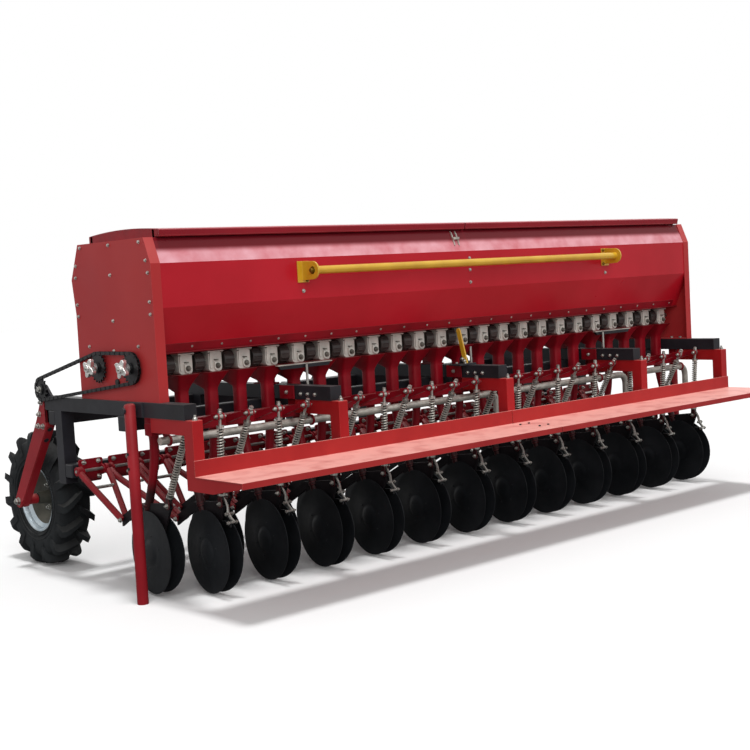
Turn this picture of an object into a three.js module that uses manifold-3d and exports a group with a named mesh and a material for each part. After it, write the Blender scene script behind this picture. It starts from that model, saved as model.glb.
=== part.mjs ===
// A 24-row three-point-mounted seed drill with double-disc openers, as an assembly of named meshes.
// Millimetres, +Z up, +X to the machine's right, +Y the way it travels.  The exported group stands on
// Z = 0 on its two wheels and its two parking stands, with its origin at the middle of its footprint.
// Inside the group, Y is counted from the axis of the rear row of discs.
import * as THREE from "three";
import { mergeVertices } from "three/addons/utils/BufferGeometryUtils.js";
import Module from "manifold-3d";

const wasm = await Module();
wasm.setup();

// ---- Driving dimensions -------------------------------------------------------------------------
const SEAT = 0.3; // gap left between two pieces that rest on each other
const SIDES = [-1, 1]; // left and right

// Rows of openers
const ROWS = 24;
const ROW_PITCH = 150;
const ROW_STAGGER = 200; // how far the front row of discs stands ahead of the rear row
const DISC_DIAMETER = 350;
const DISC_THICKNESS = 4;
const DISC_PAIR_GAP = 3; // between the two discs where they come closest
const DISC_HALF_ANGLE = 5; // degrees that each disc is turned from the line of travel
const DISC_CLEARANCE = 10; // below the discs, with the machine parked
const DISC_SIDES = 16;
const DISC_HUB_RADIUS = 22;

// Frame
const RAIL_WIDTH = 60;
const RAIL_BOTTOM = 767;
const RAIL_HEIGHT = 61;
const RAIL_REAR = -226;
const RAIL_FRONT = 900;
const SPOUT_CLEARANCE = 3.5; // from the last funnel's spout to the outer rail beside it
const INNER_RAIL_ROWS = 7; // rows between the middle rail and an inner rail
const INNER_RAIL_SHIFT = 5; // from the middle of that gap between rows
const LEG_REAR = 755; // rear face of the leg that hangs from each rail
const LEG_DEPTH = 60;
const LEG_BOTTOM = 440;
const BEAM_DEPTH = 60; // cross beams, along Y
const BEAM_HEIGHT = 66;
const REAR_BEAM_Y = 245;
const OPENER_BEAM_HEIGHT = 60;
const OPENER_BEAM_Z = 500;

// Hopper
const HOPPER_INSET = 9; // from an outer rail's outer face to the end panel's face
const HOPPER_Y = 262;
const HOPPER_HALF_TOP = 260; // half the width across the top
const HOPPER_HALF_BELLY = 302.7; // half the width across the upright facets
const HOPPER_HALF_BOTTOM = 207; // half the width where the walls end
const WALL_OVER_RAIL = 192; // from the rails up to where the walls end
const SLOPE_HEIGHT = 185; // of the walls' lower facets
const BELLY_HEIGHT = 178; // of their upright facets
const SHOULDER_HEIGHT = 104; // of their upper facets
const SHEET = 3;
const END_PLATE = 4;
const END_FLANGE = 45; // width of the flange folded along an end panel's rear edge
const TOP_FLANGE = 30;
const LEDGE = 65; // width of the ledge along the top of an end panel
const TROUGH_HALF_WIDTH = 30;
const TROUGH_DEPTH = 7.6; // below the lip of the floor
const TROUGH_OFFSET = 130; // of each trough, and each metering shaft, from the middle of the hopper
const RIDGE_HEIGHT = 63; // of the floor between the troughs
const DIVIDER = 4;
const DIVIDER_BELOW_TOP = 47;
const STAY_HALF_DEPTH = 62;
const STAY_PLATE = 8;
const STAY_SOLE = 6;
const STAY_SOLE_WIDTH = 54;

// Lids
const LID_END_INSET = 62; // from the hopper's end to the end of a lid
const LID_GAP = 4; // from the middle of the machine to the edge of a lid
const LID_REAR = -25;
const LID_FRONT = 526;
const LID_RISE = 33; // of a lid's edge over the hopper's top
const LID_CROWN = 14;
const LID_SKIRT = 29;
const LID_SHEET = 2.5;
const LID_HINGE_Y = 545;
const LID_HINGE_RISE = 18; // of the hinge pins over the hopper's top
const LID_HINGE_SPREAD = 620; // from the middle of a lid to each of its two hinges
const HINGE_PIN_RADIUS = 5;
const HINGE_LUG = 10;
const HINGE_EAR = 5;
const HINGE_GAP = 1;
const PIN_CLEARANCE = 0.4;

// Metering, given from the top of the rails
const METER_OVER_RAIL = 138;
const METER_FOOT_OVER_RAIL = 92;
const METER_SHAFT_RADIUS = 11;
const METER_WIDTH = 70;
const METER_DEPTH = 64;
const FUNNEL_TOP_WIDTH = 110;
const FUNNEL_TOP_REAR = 75;
const FUNNEL_TOP_FRONT = 425;
const FUNNEL_THROAT = 55;
const FUNNEL_Y = 150;
const FUNNEL_THROAT_OVER_RAIL = 32;
const FUNNEL_BELOW_RAIL = 47;
const FUNNEL_STRIP = 12;

// Spring rods, rock shaft and pressure pipe
const ROCK_SHAFT_Y = 70;
const ROCK_SHAFT_BELOW_RAIL = 52;
const ROCK_SHAFT_SIZE = 50;
const ROCK_SHAFT_PROUD = 14; // past the middle of an outer rail
const LEVER_THICKNESS = 18;
const ROD_HEAD_Y = -120;
const ROD_HEAD_RISE = 35; // over the rock shaft
const ROD_HEAD_SIZE = 28;
const ROD_HEAD_HEIGHT = 30;
const ROD_RADIUS = 7;
const SPRING_RADIUS = 14;
const PIPE_DROP = 45; // below the rock shaft
const PIPE_RADIUS = 17;
const PIPE_PROUD = 9; // past the middle of an outer rail
const PIPE_PLATE = 8;
const PIPE_PLATE_OFFSET = 38; // from the middle of a rail

// Openers
const ARM_GAP = 10; // between the drag arms of two rows that are side by side
const ARM_WIDTH = 10;
const ARM_HEIGHT = 30;
const BOOT_WIDTH = 11;
const BOOT_NECK = 14; // from the discs' edge to the underside of the boot's neck
const BOOT_BACK = 50; // from the discs' edge to the top of its neck
const APEX_AHEAD = 60; // from the discs' front edge to where the drag arms meet
const APEX_RISE = 107; // over the discs' axis
const ROD_FOOT_RISE = 207; // over the discs' axis
const FRONT_ROD_FOOT_Y = 65;
const REAR_ROD_FOOT_Y = -96;
const SEED_TUBE_RADIUS = 16;
const SEED_TUBE_AHEAD = 40; // of the discs' axis, at its foot
const CARRIER_PLATE = 10;
const CARRIER_HALF_HEIGHT = 26;
const CARRIER_MARGIN = 3;

// Wheels
const WHEEL_Y = 1230;
const TYRE_RADIUS = 320;
const TYRE_WIDTH = 165;
const TYRE_CLEARANCE = 13.5; // from the tyre's wall to the arm beside it
const RIM_RADIUS = 154;
const RIM_WIDTH = 132;
const AXLE_RADIUS = 15;
const HUB_RADIUS = 34;
const HUB_HALF_LENGTH = 60;
const WHEEL_SIDES = 28;
const ARM_WALL = 6;
const COLLAR = 9; // how far the axle's collar and cap stand proud of it
const HUB_PLAY = 3; // from the hub's ends to the collar and the cap

// Parking stands
const STAND_Y = 120;
const STAND_RADIUS = 23.5;
const STAND_CLEARANCE = 7.5; // from the rail's face to the stand
const STAND_PIVOT_RISE = 30; // over the underside of the rails
const STAND_OVER_PIVOT = 28;
const STAND_BOLT_RADIUS = 8;
const BOLT_HEAD = 8;
const EYE_PLATE = 6;

// Footboard
const BOARD_PROUD = 29; // past the middle of an outer rail
const BOARD_GAP = 2;
const BOARD_TOP = 549;
const BOARD_INNER = -270; // rear faces of the posts that carry the board
const BOARD_REAR = -582;
const BOARD_UPSTAND = 63;
const BOARD_LIP = 25;
const BOARD_SHEET = 4;
const BRACKET_WIDTH = 50;
const BRACKET_POST = 60;
const BRACKET_FRONT = 30;
const BRACKET_BAR = 60;
const BRACKET_ARM = 55;
const BRACKET_TAPER = 200; // length over which an arm thins towards the board's rear edge

// Grab rail
const GRAB_BELOW_SHOULDER = 58; // from the foot of the hopper's upper facet
const GRAB_Y = -115;
const GRAB_RADIUS = 17.5;
const GRAB_HALF_LENGTH = 1040;
const GRAB_PLATE = 8;
const GRAB_FOOT = 60;

// Rate lever
const LEVER_HEIGHT = 180;
const LEVER_BASE = 8;

// Chain drive
const CHAIN_CLEARANCE = 1.5; // from an outer rail's face to the chain
const CHAIN_WIDTH = 9;
const CHAIN_THICKNESS = 10;
const DRIVEN_RADIUS = 62;
const IDLER_RADIUS = 48;
const IDLER_Y = 908;
const IDLER_OVER_RAIL = 33;
const STUB_RADIUS = 10;
const STAR_HUB_RADIUS = 44;
const STAR_HUB_OFFSET = 28; // from the middle of the chain to the hub's inner face
const STAR_HUB_DEPTH = 38;

// Three-point headstock
const LINK_HALF_SPREAD = 412.5;
const LINK_Z = 550;
const MAST_HEIGHT = 610; // of the top-link pin above the lower pins
const LINK_Y = 965;
const CLEVIS_GAP = 60;
const TOP_CLEVIS_GAP = 56;
const CLEVIS_PLATE = 16;
const LINK_PIN_RADIUS = 14.5;
const MAST_FOOT_X = 260;
const MAST_WIDTH = 50;
const MAST_DEPTH = 30;
const HEAD_PLATE = 12;

// ---- Worked out from them -----------------------------------------------------------------------
const RAIL_TOP = RAIL_BOTTOM + RAIL_HEIGHT;
const UNDER_RAIL = RAIL_BOTTOM - SEAT;
const LAST_ROW_X = ((ROWS - 1) / 2) * ROW_PITCH;
const OUTER_RAIL_X = LAST_ROW_X + FUNNEL_THROAT / 2 + SPOUT_CLEARANCE + RAIL_WIDTH / 2;
const OUTER_FACE_X = OUTER_RAIL_X + RAIL_WIDTH / 2;
const HOPPER_HALF_LENGTH = OUTER_FACE_X - HOPPER_INSET; // to the outer face of an end panel
const HOPPER_INNER_X = HOPPER_HALF_LENGTH - END_PLATE - SEAT;
const INNER_RAIL_X = INNER_RAIL_ROWS * ROW_PITCH - INNER_RAIL_SHIFT;
const RAILS_X = [-OUTER_RAIL_X, -INNER_RAIL_X, 0, INNER_RAIL_X, OUTER_RAIL_X];
const DISC_RADIUS = DISC_DIAMETER / 2;
const DISC_Z = DISC_RADIUS + DISC_CLEARANCE;
const ORIGIN_Y = (WHEEL_Y + TYRE_RADIUS + BOARD_REAR) / 2;
const WALL_BOTTOM = RAIL_TOP + WALL_OVER_RAIL;
const BELLY_BOTTOM = WALL_BOTTOM + SLOPE_HEIGHT;
const BELLY_TOP = BELLY_BOTTOM + BELLY_HEIGHT;
const HOPPER_TOP = BELLY_TOP + SHOULDER_HEIGHT;
const REAR_METER_Y = HOPPER_Y - TROUGH_OFFSET;
const FRONT_METER_Y = HOPPER_Y + TROUGH_OFFSET;
const FRONT_BEAM_REAR = LEG_REAR + LEG_DEPTH + SEAT;
const FRONT_BEAM_FRONT = FRONT_BEAM_REAR + BEAM_DEPTH;
const OPENER_BEAM_REAR = LEG_REAR - SEAT - BEAM_DEPTH;
const LID_HALF_LENGTH = HOPPER_HALF_LENGTH - LID_END_INSET;
const LID_EDGE_Z = HOPPER_TOP + LID_RISE;
const LID_HINGE_Z = HOPPER_TOP + LID_HINGE_RISE;
const METER_Z = RAIL_TOP + METER_OVER_RAIL;
const METER_BOTTOM = RAIL_TOP + METER_FOOT_OVER_RAIL;
const FUNNEL_THROAT_Z = RAIL_TOP + FUNNEL_THROAT_OVER_RAIL;
const FUNNEL_BOTTOM = RAIL_BOTTOM - FUNNEL_BELOW_RAIL;
const ROCK_SHAFT_Z = RAIL_BOTTOM - ROCK_SHAFT_BELOW_RAIL;
const ROCK_HALF_LENGTH = OUTER_RAIL_X + ROCK_SHAFT_PROUD;
const ROD_HEAD_Z = ROCK_SHAFT_Z + ROD_HEAD_RISE;
const PIPE_Z = ROCK_SHAFT_Z - PIPE_DROP;
const PIPE_HALF_LENGTH = OUTER_RAIL_X + PIPE_PROUD;
const ARM_SPREAD = (ROW_PITCH - ARM_GAP) / 2; // half the distance between two drag arms at the beam
const WHEEL_X = OUTER_RAIL_X - RAIL_WIDTH / 2 - TYRE_CLEARANCE - TYRE_WIDTH / 2;
const STAND_X = OUTER_FACE_X + STAND_CLEARANCE + STAND_RADIUS;
const STAND_PIVOT_Z = RAIL_BOTTOM + STAND_PIVOT_RISE;
const BOARD_HALF_LENGTH = OUTER_RAIL_X + BOARD_PROUD;
const GRAB_Z = BELLY_TOP - GRAB_BELOW_SHOULDER;
const CHAIN_X = OUTER_FACE_X + CHAIN_CLEARANCE + CHAIN_WIDTH / 2;
const IDLER_Z = RAIL_TOP + IDLER_OVER_RAIL;
const STAR_HUB_INNER = CHAIN_X + STAR_HUB_OFFSET;
const STAR_HUB_OUTER = STAR_HUB_INNER + STAR_HUB_DEPTH;
const rowX = (row) => row * ROW_PITCH - LAST_ROW_X;

// ---- Colours ------------------------------------------------------------------------------------
const finish = (color, roughness, metalness) =>
  new THREE.MeshStandardMaterial({ color, roughness, metalness, flatShading: true });
const RED = finish(0xb01826, 0.35, 0.1);
const DARK_RED = finish(0x7d1420, 0.45, 0.1);
const BLACK = finish(0x26262a, 0.5, 0.1);
const YELLOW = finish(0xd0a21c, 0.4, 0.1);
const STEEL = finish(0xa8a9a6, 0.4, 0.8);
const CAST_ALUMINIUM = finish(0xb8b8b4, 0.5, 0.6);
const DISC_STEEL = finish(0x1d1f21, 0.4, 0.5);
const RUBBER = finish(0x26282a, 0.85, 0);
const RIM_PAINT = finish(0x9aa6b0, 0.4, 0.4);

// ---- Solids -------------------------------------------------------------------------------------
function solid(geometry) {
  geometry.deleteAttribute("normal");
  geometry.deleteAttribute("uv");
  const merged = mergeVertices(geometry, 1e-3);
  const vertProperties = merged.attributes.position.array;
  const triVerts = new Uint32Array(merged.index.array);
  return new wasm.Manifold(new wasm.Mesh({ numProp: 3, vertProperties, triVerts }));
}

const join = (...pieces) => pieces.flat().reduce((all, piece) => all.add(piece));
const cut = (body, ...tools) => tools.flat().reduce((left, tool) => left.subtract(tool), body);

function box([x0, x1], [y0, y1], [z0, z1]) {
  const size = [x1 - x0, y1 - y0, z1 - z0].map(Math.abs);
  const centre = [x0 + x1, y0 + y1, z0 + z1].map((sum) => sum / 2);
  return solid(new THREE.BoxGeometry(...size).translate(...centre));
}

// An outline in a plane, drawn out along the axis that is left.
const PLANES = {
  yz: [new THREE.Vector3(0, 1, 0), new THREE.Vector3(0, 0, 1), new THREE.Vector3(1, 0, 0)],
  xz: [new THREE.Vector3(1, 0, 0), new THREE.Vector3(0, 0, 1), new THREE.Vector3(0, -1, 0)],
};
function prism(plane, outline, from, to) {
  const [right, up, out] = PLANES[plane];
  const low = Math.min(from, to);
  const depth = Math.abs(to - from);
  const shape = new THREE.Shape(outline.map(([a, b]) => new THREE.Vector2(a, b)));
  const geometry = new THREE.ExtrudeGeometry(shape, { depth, bevelEnabled: false });
  geometry.applyMatrix4(new THREE.Matrix4().makeBasis(right, up, out));
  const shift = out.clone().multiplyScalar(plane === "yz" ? low : -(low + depth));
  return solid(geometry.translate(shift.x, shift.y, shift.z));
}

// A round bar between two points.
function bar(from, to, radius, sides = 8) {
  const start = new THREE.Vector3(...from);
  const along = new THREE.Vector3(...to).sub(start);
  const geometry = new THREE.CylinderGeometry(radius, radius, along.length(), sides);
  const turn = new THREE.Quaternion();
  turn.setFromUnitVectors(new THREE.Vector3(0, 1, 0), along.clone().normalize());
  geometry.applyQuaternion(turn);
  const middle = start.addScaledVector(along, 0.5);
  return solid(geometry.translate(middle.x, middle.y, middle.z));
}

const alongX = (x0, x1, y, z, radius, sides) => bar([x0, y, z], [x1, y, z], radius, sides);

// A bore's flats, not its corners, stand at its radius, so a round of that radius fits inside.
const boreX = (x0, x1, y, z, radius, sides) =>
  alongX(x0, x1, y, z, radius / Math.cos(Math.PI / sides), sides);

// A line moved to its left by a distance, with mitred corners.
function offsetLine(points, distance) {
  const normals = points.slice(1).map(([x, y], i) => {
    const [dx, dy] = [x - points[i][0], y - points[i][1]];
    const length = Math.hypot(dx, dy);
    return [-dy / length, dx / length];
  });
  return points.map(([x, y], i) => {
    const before = normals[Math.max(i - 1, 0)];
    const after = normals[Math.min(i, normals.length - 1)];
    const share = distance / (1 + before[0] * after[0] + before[1] * after[1]);
    return [x + (before[0] + after[0]) * share, y + (before[1] + after[1]) * share];
  });
}

// Folded sheet: the line is one face, and the sheet lies to its left.
const sheet = (line, thickness) => [...line, ...offsetLine(line, thickness).reverse()];

// Turned shape about X: the profile holds [x, radius] and closes on itself.
function turned(profile, sides) {
  const points = profile.map(([x, radius]) => new THREE.Vector2(radius, x));
  if (THREE.ShapeUtils.area(points) < 0) points.reverse();
  const geometry = new THREE.LatheGeometry([...points, points[0]], sides);
  return solid(geometry.rotateZ(-Math.PI / 2));
}

function hull2d(points) {
  const sorted = [...points].sort((a, b) => a[0] - b[0] || a[1] - b[1]);
  const turn = (o, a, b) => (a[0] - o[0]) * (b[1] - o[1]) - (a[1] - o[1]) * (b[0] - o[0]);
  const half = (list) => {
    const chain = [];
    for (const point of list) {
      while (chain.length > 1 && turn(chain.at(-2), chain.at(-1), point) <= 0) chain.pop();
      chain.push(point);
    }
    return chain.slice(0, -1);
  };
  return [...half(sorted), ...half(sorted.reverse())];
}

function circle(y, z, radius, sides) {
  const step = (2 * Math.PI) / sides;
  return Array.from({ length: sides }, (_, i) => [
    y + radius * Math.cos(i * step),
    z + radius * Math.sin(i * step),
  ]);
}

function mesh(name, body, material) {
  const { numProp, vertProperties, triVerts } = body.getMesh();
  const geometry = new THREE.BufferGeometry();
  geometry.setAttribute("position", new THREE.BufferAttribute(vertProperties, numProp));
  geometry.setIndex(new THREE.BufferAttribute(triVerts, 1));
  const made = new THREE.Mesh(geometry, material);
  made.name = name;
  return made;
}

const sideName = (name, side) => name + (side < 0 ? "_left" : "_right");

// ---- Frame --------------------------------------------------------------------------------------
function rail(x) {
  const across = [x - RAIL_WIDTH / 2, x + RAIL_WIDTH / 2];
  const tube = box(across, [RAIL_REAR, RAIL_FRONT], [RAIL_BOTTOM, RAIL_TOP]);
  const leg = box(across, [LEG_REAR, LEG_REAR + LEG_DEPTH], [LEG_BOTTOM, RAIL_TOP - 1]);
  return join(tube, leg);
}

// An outer rail also carries the pivot bolt of a stand and the stub of the chain's idler.
function outerRail(side) {
  const face = side * OUTER_FACE_X;
  const inner = face - side * 16;
  const eyePlate = box(
    [face - side, face + side * EYE_PLATE],
    [STAND_Y - 50, STAND_Y + 90],
    [RAIL_BOTTOM, RAIL_TOP],
  );
  const boltHead = side * (STAND_X + STAND_RADIUS + 2);
  const boltEnd = boltHead + side * BOLT_HEAD;
  const bolt = alongX(inner, boltEnd, STAND_Y, STAND_PIVOT_Z, STAND_BOLT_RADIUS, 12);
  const head = alongX(boltHead, boltEnd, STAND_Y, STAND_PIVOT_Z, STAND_BOLT_RADIUS + 5, 6);
  const post = prism(
    "yz",
    [
      [RAIL_FRONT - 60, RAIL_TOP - 1],
      [RAIL_FRONT - 6, RAIL_TOP - 1],
      [IDLER_Y + 16, IDLER_Z - 10],
      [IDLER_Y + 16, IDLER_Z + 16],
      [IDLER_Y - 18, IDLER_Z + 16],
    ],
    face - side * 4,
    inner,
  );
  const stubEnd = side * (CHAIN_X + CHAIN_WIDTH / 2 + 4);
  const stub = alongX(inner, stubEnd, IDLER_Y, IDLER_Z, STUB_RADIUS, 12);
  return join(rail(side * OUTER_RAIL_X), eyePlate, bolt, head, post, stub);
}

function addFrame(group) {
  RAILS_X.forEach((x, i) => {
    const body = Math.abs(x) === OUTER_RAIL_X ? outerRail(Math.sign(x)) : rail(x);
    group.add(mesh(`frame_rail_${i + 1}`, body, BLACK));
  });
  const reach = OUTER_FACE_X;
  const front = box(
    [-reach, reach],
    [FRONT_BEAM_REAR, FRONT_BEAM_FRONT],
    [UNDER_RAIL - BEAM_HEIGHT, UNDER_RAIL],
  );
  const rear = box(
    [-reach, reach],
    [REAR_BEAM_Y - BEAM_DEPTH / 2, REAR_BEAM_Y + BEAM_DEPTH / 2],
    [UNDER_RAIL - BEAM_HEIGHT, UNDER_RAIL],
  );
  const opener = box(
    [-reach, reach],
    [OPENER_BEAM_REAR, LEG_REAR - SEAT],
    [OPENER_BEAM_Z - OPENER_BEAM_HEIGHT / 2, OPENER_BEAM_Z + OPENER_BEAM_HEIGHT / 2],
  );
  group.add(mesh("front_cross_beam", front, BLACK));
  group.add(mesh("rear_cross_beam", rear, BLACK));
  group.add(mesh("opener_beam", opener, BLACK));
}

// Two masts meet over a cross plate, with a clevis at the top and one below at each side.
function headstock() {
  const face = FRONT_BEAM_FRONT + SEAT;
  const plateFront = face + HEAD_PLATE;
  const beamMiddle = UNDER_RAIL - BEAM_HEIGHT / 2;
  const plateEnd = LINK_HALF_SPREAD + CLEVIS_GAP / 2 + CLEVIS_PLATE;
  const plate = box([-plateEnd, plateEnd], [face, plateFront], [UNDER_RAIL - BEAM_HEIGHT, UNDER_RAIL]);
  const cheek = (x, line) => prism("yz", line, x - CLEVIS_PLATE / 2, x + CLEVIS_PLATE / 2);
  const pieces = [plate];
  const holes = [];
  const lowerCheek = [
    [face, UNDER_RAIL],
    [face, UNDER_RAIL - BEAM_HEIGHT],
    [LINK_Y - 25, LINK_Z - 30],
    [LINK_Y + 25, LINK_Z - 30],
    [LINK_Y + 30, LINK_Z + 25],
    [plateFront + 30, UNDER_RAIL],
  ];
  const topZ = LINK_Z + MAST_HEIGHT;
  const topCheek = [
    [face, topZ - 60],
    [LINK_Y + 20, topZ - 40],
    [LINK_Y + 30, topZ + 25],
    [LINK_Y - 25, topZ + 30],
    [face, topZ - 10],
  ];
  for (const side of SIDES) {
    const pinX = side * LINK_HALF_SPREAD;
    const reach = CLEVIS_GAP / 2 + CLEVIS_PLATE / 2;
    pieces.push(cheek(pinX - reach, lowerCheek), cheek(pinX + reach, lowerCheek));
    holes.push(alongX(pinX - reach * 2, pinX + reach * 2, LINK_Y, LINK_Z, LINK_PIN_RADIUS, 12));
    const topX = side * (TOP_CLEVIS_GAP / 2 + CLEVIS_PLATE / 2);
    pieces.push(cheek(topX, topCheek));
    const footX = side * MAST_FOOT_X;
    const outer = side * (MAST_WIDTH / 2);
    const mast = [
      [footX - outer, beamMiddle],
      [footX + outer, beamMiddle],
      [topX + outer * 0.6, topZ - 12],
      [topX - outer * 0.3, topZ - 12],
    ];
    pieces.push(prism("xz", side > 0 ? mast : mast.reverse(), face, face + MAST_DEPTH));
  }
  holes.push(alongX(-90, 90, LINK_Y, topZ, LINK_PIN_RADIUS - 2, 12));
  return cut(join(pieces), holes);
}

// ---- Hopper -------------------------------------------------------------------------------------
// The rear wall's outer face, from its top edge down; end < 0 is the rear, end > 0 the front.
const wallLine = (end) => [
  [HOPPER_Y + end * HOPPER_HALF_TOP, HOPPER_TOP],
  [HOPPER_Y + end * HOPPER_HALF_BELLY, BELLY_TOP],
  [HOPPER_Y + end * HOPPER_HALF_BELLY, BELLY_BOTTOM],
  [HOPPER_Y + end * HOPPER_HALF_BOTTOM, WALL_BOTTOM],
];

// The hopper's side of a line that runs down the rear is its left; down the front, its right.
const inward = (end) => -end;

function hopperWall(end) {
  const line = wallLine(end);
  const outline = sheet(line, inward(end) * SHEET);
  const wall = prism("yz", outline, -HOPPER_INNER_X, HOPPER_INNER_X);
  const [edge] = line[0];
  const flangeEnd = HOPPER_HALF_LENGTH - LEDGE - SEAT;
  const flange = box(
    [-flangeEnd, flangeEnd],
    [edge, edge - end * TOP_FLANGE],
    [HOPPER_TOP - SHEET, HOPPER_TOP],
  );
  return join(wall, flange);
}

// The hinges of the lids are held on the front wall, each by two ears and a pin.
function hingeCentres() {
  const lidMiddle = (LID_HALF_LENGTH + LID_GAP) / 2;
  return SIDES.flatMap((side) =>
    [-1, 1].map((way) => side * lidMiddle + way * LID_HINGE_SPREAD),
  );
}

function frontWall() {
  const [edge] = wallLine(1)[0];
  const reach = HINGE_LUG / 2 + HINGE_GAP + HINGE_EAR;
  const hinges = hingeCentres().flatMap((x) => {
    const ear = [
      [edge - 4, HOPPER_TOP - 2],
      [edge + 8, HOPPER_TOP - 24],
      [LID_HINGE_Y + 8, LID_HINGE_Z - 6],
      [LID_HINGE_Y + 8, LID_HINGE_Z + 8],
      [LID_HINGE_Y - 8, LID_HINGE_Z + 8],
      [LID_HINGE_Y - 8, LID_HINGE_Z - 8],
    ];
    const ears = [-reach, reach - HINGE_EAR].map((at) => prism("yz", ear, x + at, x + at + HINGE_EAR));
    return [...ears, alongX(x - reach, x + reach, LID_HINGE_Y, LID_HINGE_Z, HINGE_PIN_RADIUS, 12)];
  });
  return join(hopperWall(1), hinges);
}

// The floor's upper face, from the rear lip to the front lip: two troughs with a ridge between.
function floorLine() {
  const lip = WALL_BOTTOM - SEAT - 0.1;
  const trough = lip - TROUGH_DEPTH;
  const rear = [
    [HOPPER_Y - HOPPER_HALF_BOTTOM - 10, lip],
    [HOPPER_Y - HOPPER_HALF_BOTTOM + 5, lip],
    [REAR_METER_Y - TROUGH_HALF_WIDTH, trough],
    [REAR_METER_Y + TROUGH_HALF_WIDTH, trough],
  ];
  const front = rear.map(([y, z]) => [2 * HOPPER_Y - y, z]).reverse();
  return [...rear, [HOPPER_Y, trough + RIDGE_HEIGHT], ...front];
}

const hopperFloor = () =>
  prism("yz", sheet(floorLine(), -SHEET), -HOPPER_INNER_X, HOPPER_INNER_X);

// The inside of the hopper, drawn in from its walls, floor and flanges by the seat.
function innerOutline() {
  const rear = offsetLine(wallLine(-1), SHEET + SEAT);
  const front = offsetLine(wallLine(1), -SHEET - SEAT);
  const top = HOPPER_TOP - SHEET - SEAT;
  const floor = offsetLine(floorLine().slice(2, -2), SEAT);
  const topRear = HOPPER_Y - HOPPER_HALF_TOP + SHEET + 1;
  const topFront = HOPPER_Y + HOPPER_HALF_TOP - SHEET - 1;
  return [[topRear, top], rear[1], rear[2], ...floor, front[2], front[1], [topFront, top]];
}

const partition = () => prism("yz", innerOutline(), -DIVIDER / 2, DIVIDER / 2);

function divider(side) {
  const near = side * (DIVIDER / 2 + SEAT);
  const far = side * (HOPPER_INNER_X - SEAT);
  const ridge = floorLine()[4][1];
  return box(
    [near, far],
    [HOPPER_Y - DIVIDER / 2, HOPPER_Y + DIVIDER / 2],
    [ridge + 1, HOPPER_TOP - DIVIDER_BELOW_TOP],
  );
}

function endPanel(side) {
  const outer = side * HOPPER_HALF_LENGTH;
  const inner = outer - side * END_PLATE;
  const foot = RAIL_TOP + SEAT;
  const rearEdge = [
    [HOPPER_Y - HOPPER_HALF_TOP, HOPPER_TOP],
    [HOPPER_Y - HOPPER_HALF_BELLY, BELLY_TOP],
    [HOPPER_Y - HOPPER_HALF_BELLY, foot],
  ];
  const flangeOuter = offsetLine(rearEdge, -SEAT - SHEET);
  const flangeInner = offsetLine(rearEdge, -SEAT);
  const plateOutline = [
    ...flangeOuter,
    [HOPPER_Y + HOPPER_HALF_BELLY + 10, foot],
    [HOPPER_Y + HOPPER_HALF_BELLY + 6, BELLY_BOTTOM - 15],
    [HOPPER_Y + HOPPER_HALF_BELLY + 27, BELLY_TOP - 45],
    [HOPPER_Y + HOPPER_HALF_TOP, HOPPER_TOP],
  ];
  const plate = prism("yz", plateOutline, outer, inner);
  const flangeOutline = [...flangeOuter, ...flangeInner.reverse()];
  const flange = prism("yz", flangeOutline, outer - side * END_FLANGE, outer);
  const ledge = box(
    [outer, outer - side * LEDGE],
    [HOPPER_Y - HOPPER_HALF_TOP + 4, HOPPER_Y + HOPPER_HALF_TOP - 4],
    [HOPPER_TOP - SHEET, HOPPER_TOP],
  );
  const footFlange = box(
    [outer, outer - side * END_FLANGE],
    [HOPPER_Y - HOPPER_HALF_BELLY, HOPPER_Y + HOPPER_HALF_BELLY + 10],
    [foot, foot + SHEET + 1],
  );
  const ledgeNotch = hopperLedgeNotch(side);
  const bearings = [REAR_METER_Y, FRONT_METER_Y].map((y) =>
    boreX(outer + side * 20, inner - side * 20, y, METER_Z, METER_SHAFT_RADIUS + SEAT, 12),
  );
  return cut(join(plate, flange, cut(ledge, ledgeNotch), footFlange), bearings);
}

// The walls rise past the ends of the ledge, so it is cut back from them.
function hopperLedgeNotch(side) {
  return SIDES.map((end) => {
    const line = wallLine(end).slice(0, 2);
    const clear = [
      ...offsetLine(line, inward(end) * -20),
      ...offsetLine(line, inward(end) * (SHEET + SEAT)).reverse(),
    ];
    return prism("yz", clear, side * (HOPPER_INNER_X + SEAT), side * (HOPPER_INNER_X - LEDGE));
  });
}

// A plate under the floor's ridge, standing on an inner rail.
function hopperStay(x) {
  const under = offsetLine(floorLine(), -SHEET - SEAT);
  const ridge = under[4];
  const [, trough] = under[3];
  const slope = (ridge[1] - trough) / (ridge[0] - under[3][0]);
  const shoulder = ridge[1] - slope * STAY_HALF_DEPTH;
  const foot = RAIL_TOP + SEAT;
  const outline = [
    [HOPPER_Y - STAY_HALF_DEPTH, foot],
    [HOPPER_Y + STAY_HALF_DEPTH, foot],
    [HOPPER_Y + STAY_HALF_DEPTH, shoulder],
    ridge,
    [HOPPER_Y - STAY_HALF_DEPTH, shoulder],
  ];
  const sole = box(
    [x - STAY_SOLE_WIDTH / 2, x + STAY_SOLE_WIDTH / 2],
    [HOPPER_Y - STAY_HALF_DEPTH, HOPPER_Y + STAY_HALF_DEPTH],
    [foot, foot + STAY_SOLE],
  );
  return join(prism("yz", outline, x - STAY_PLATE / 2, x + STAY_PLATE / 2), sole);
}

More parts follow.
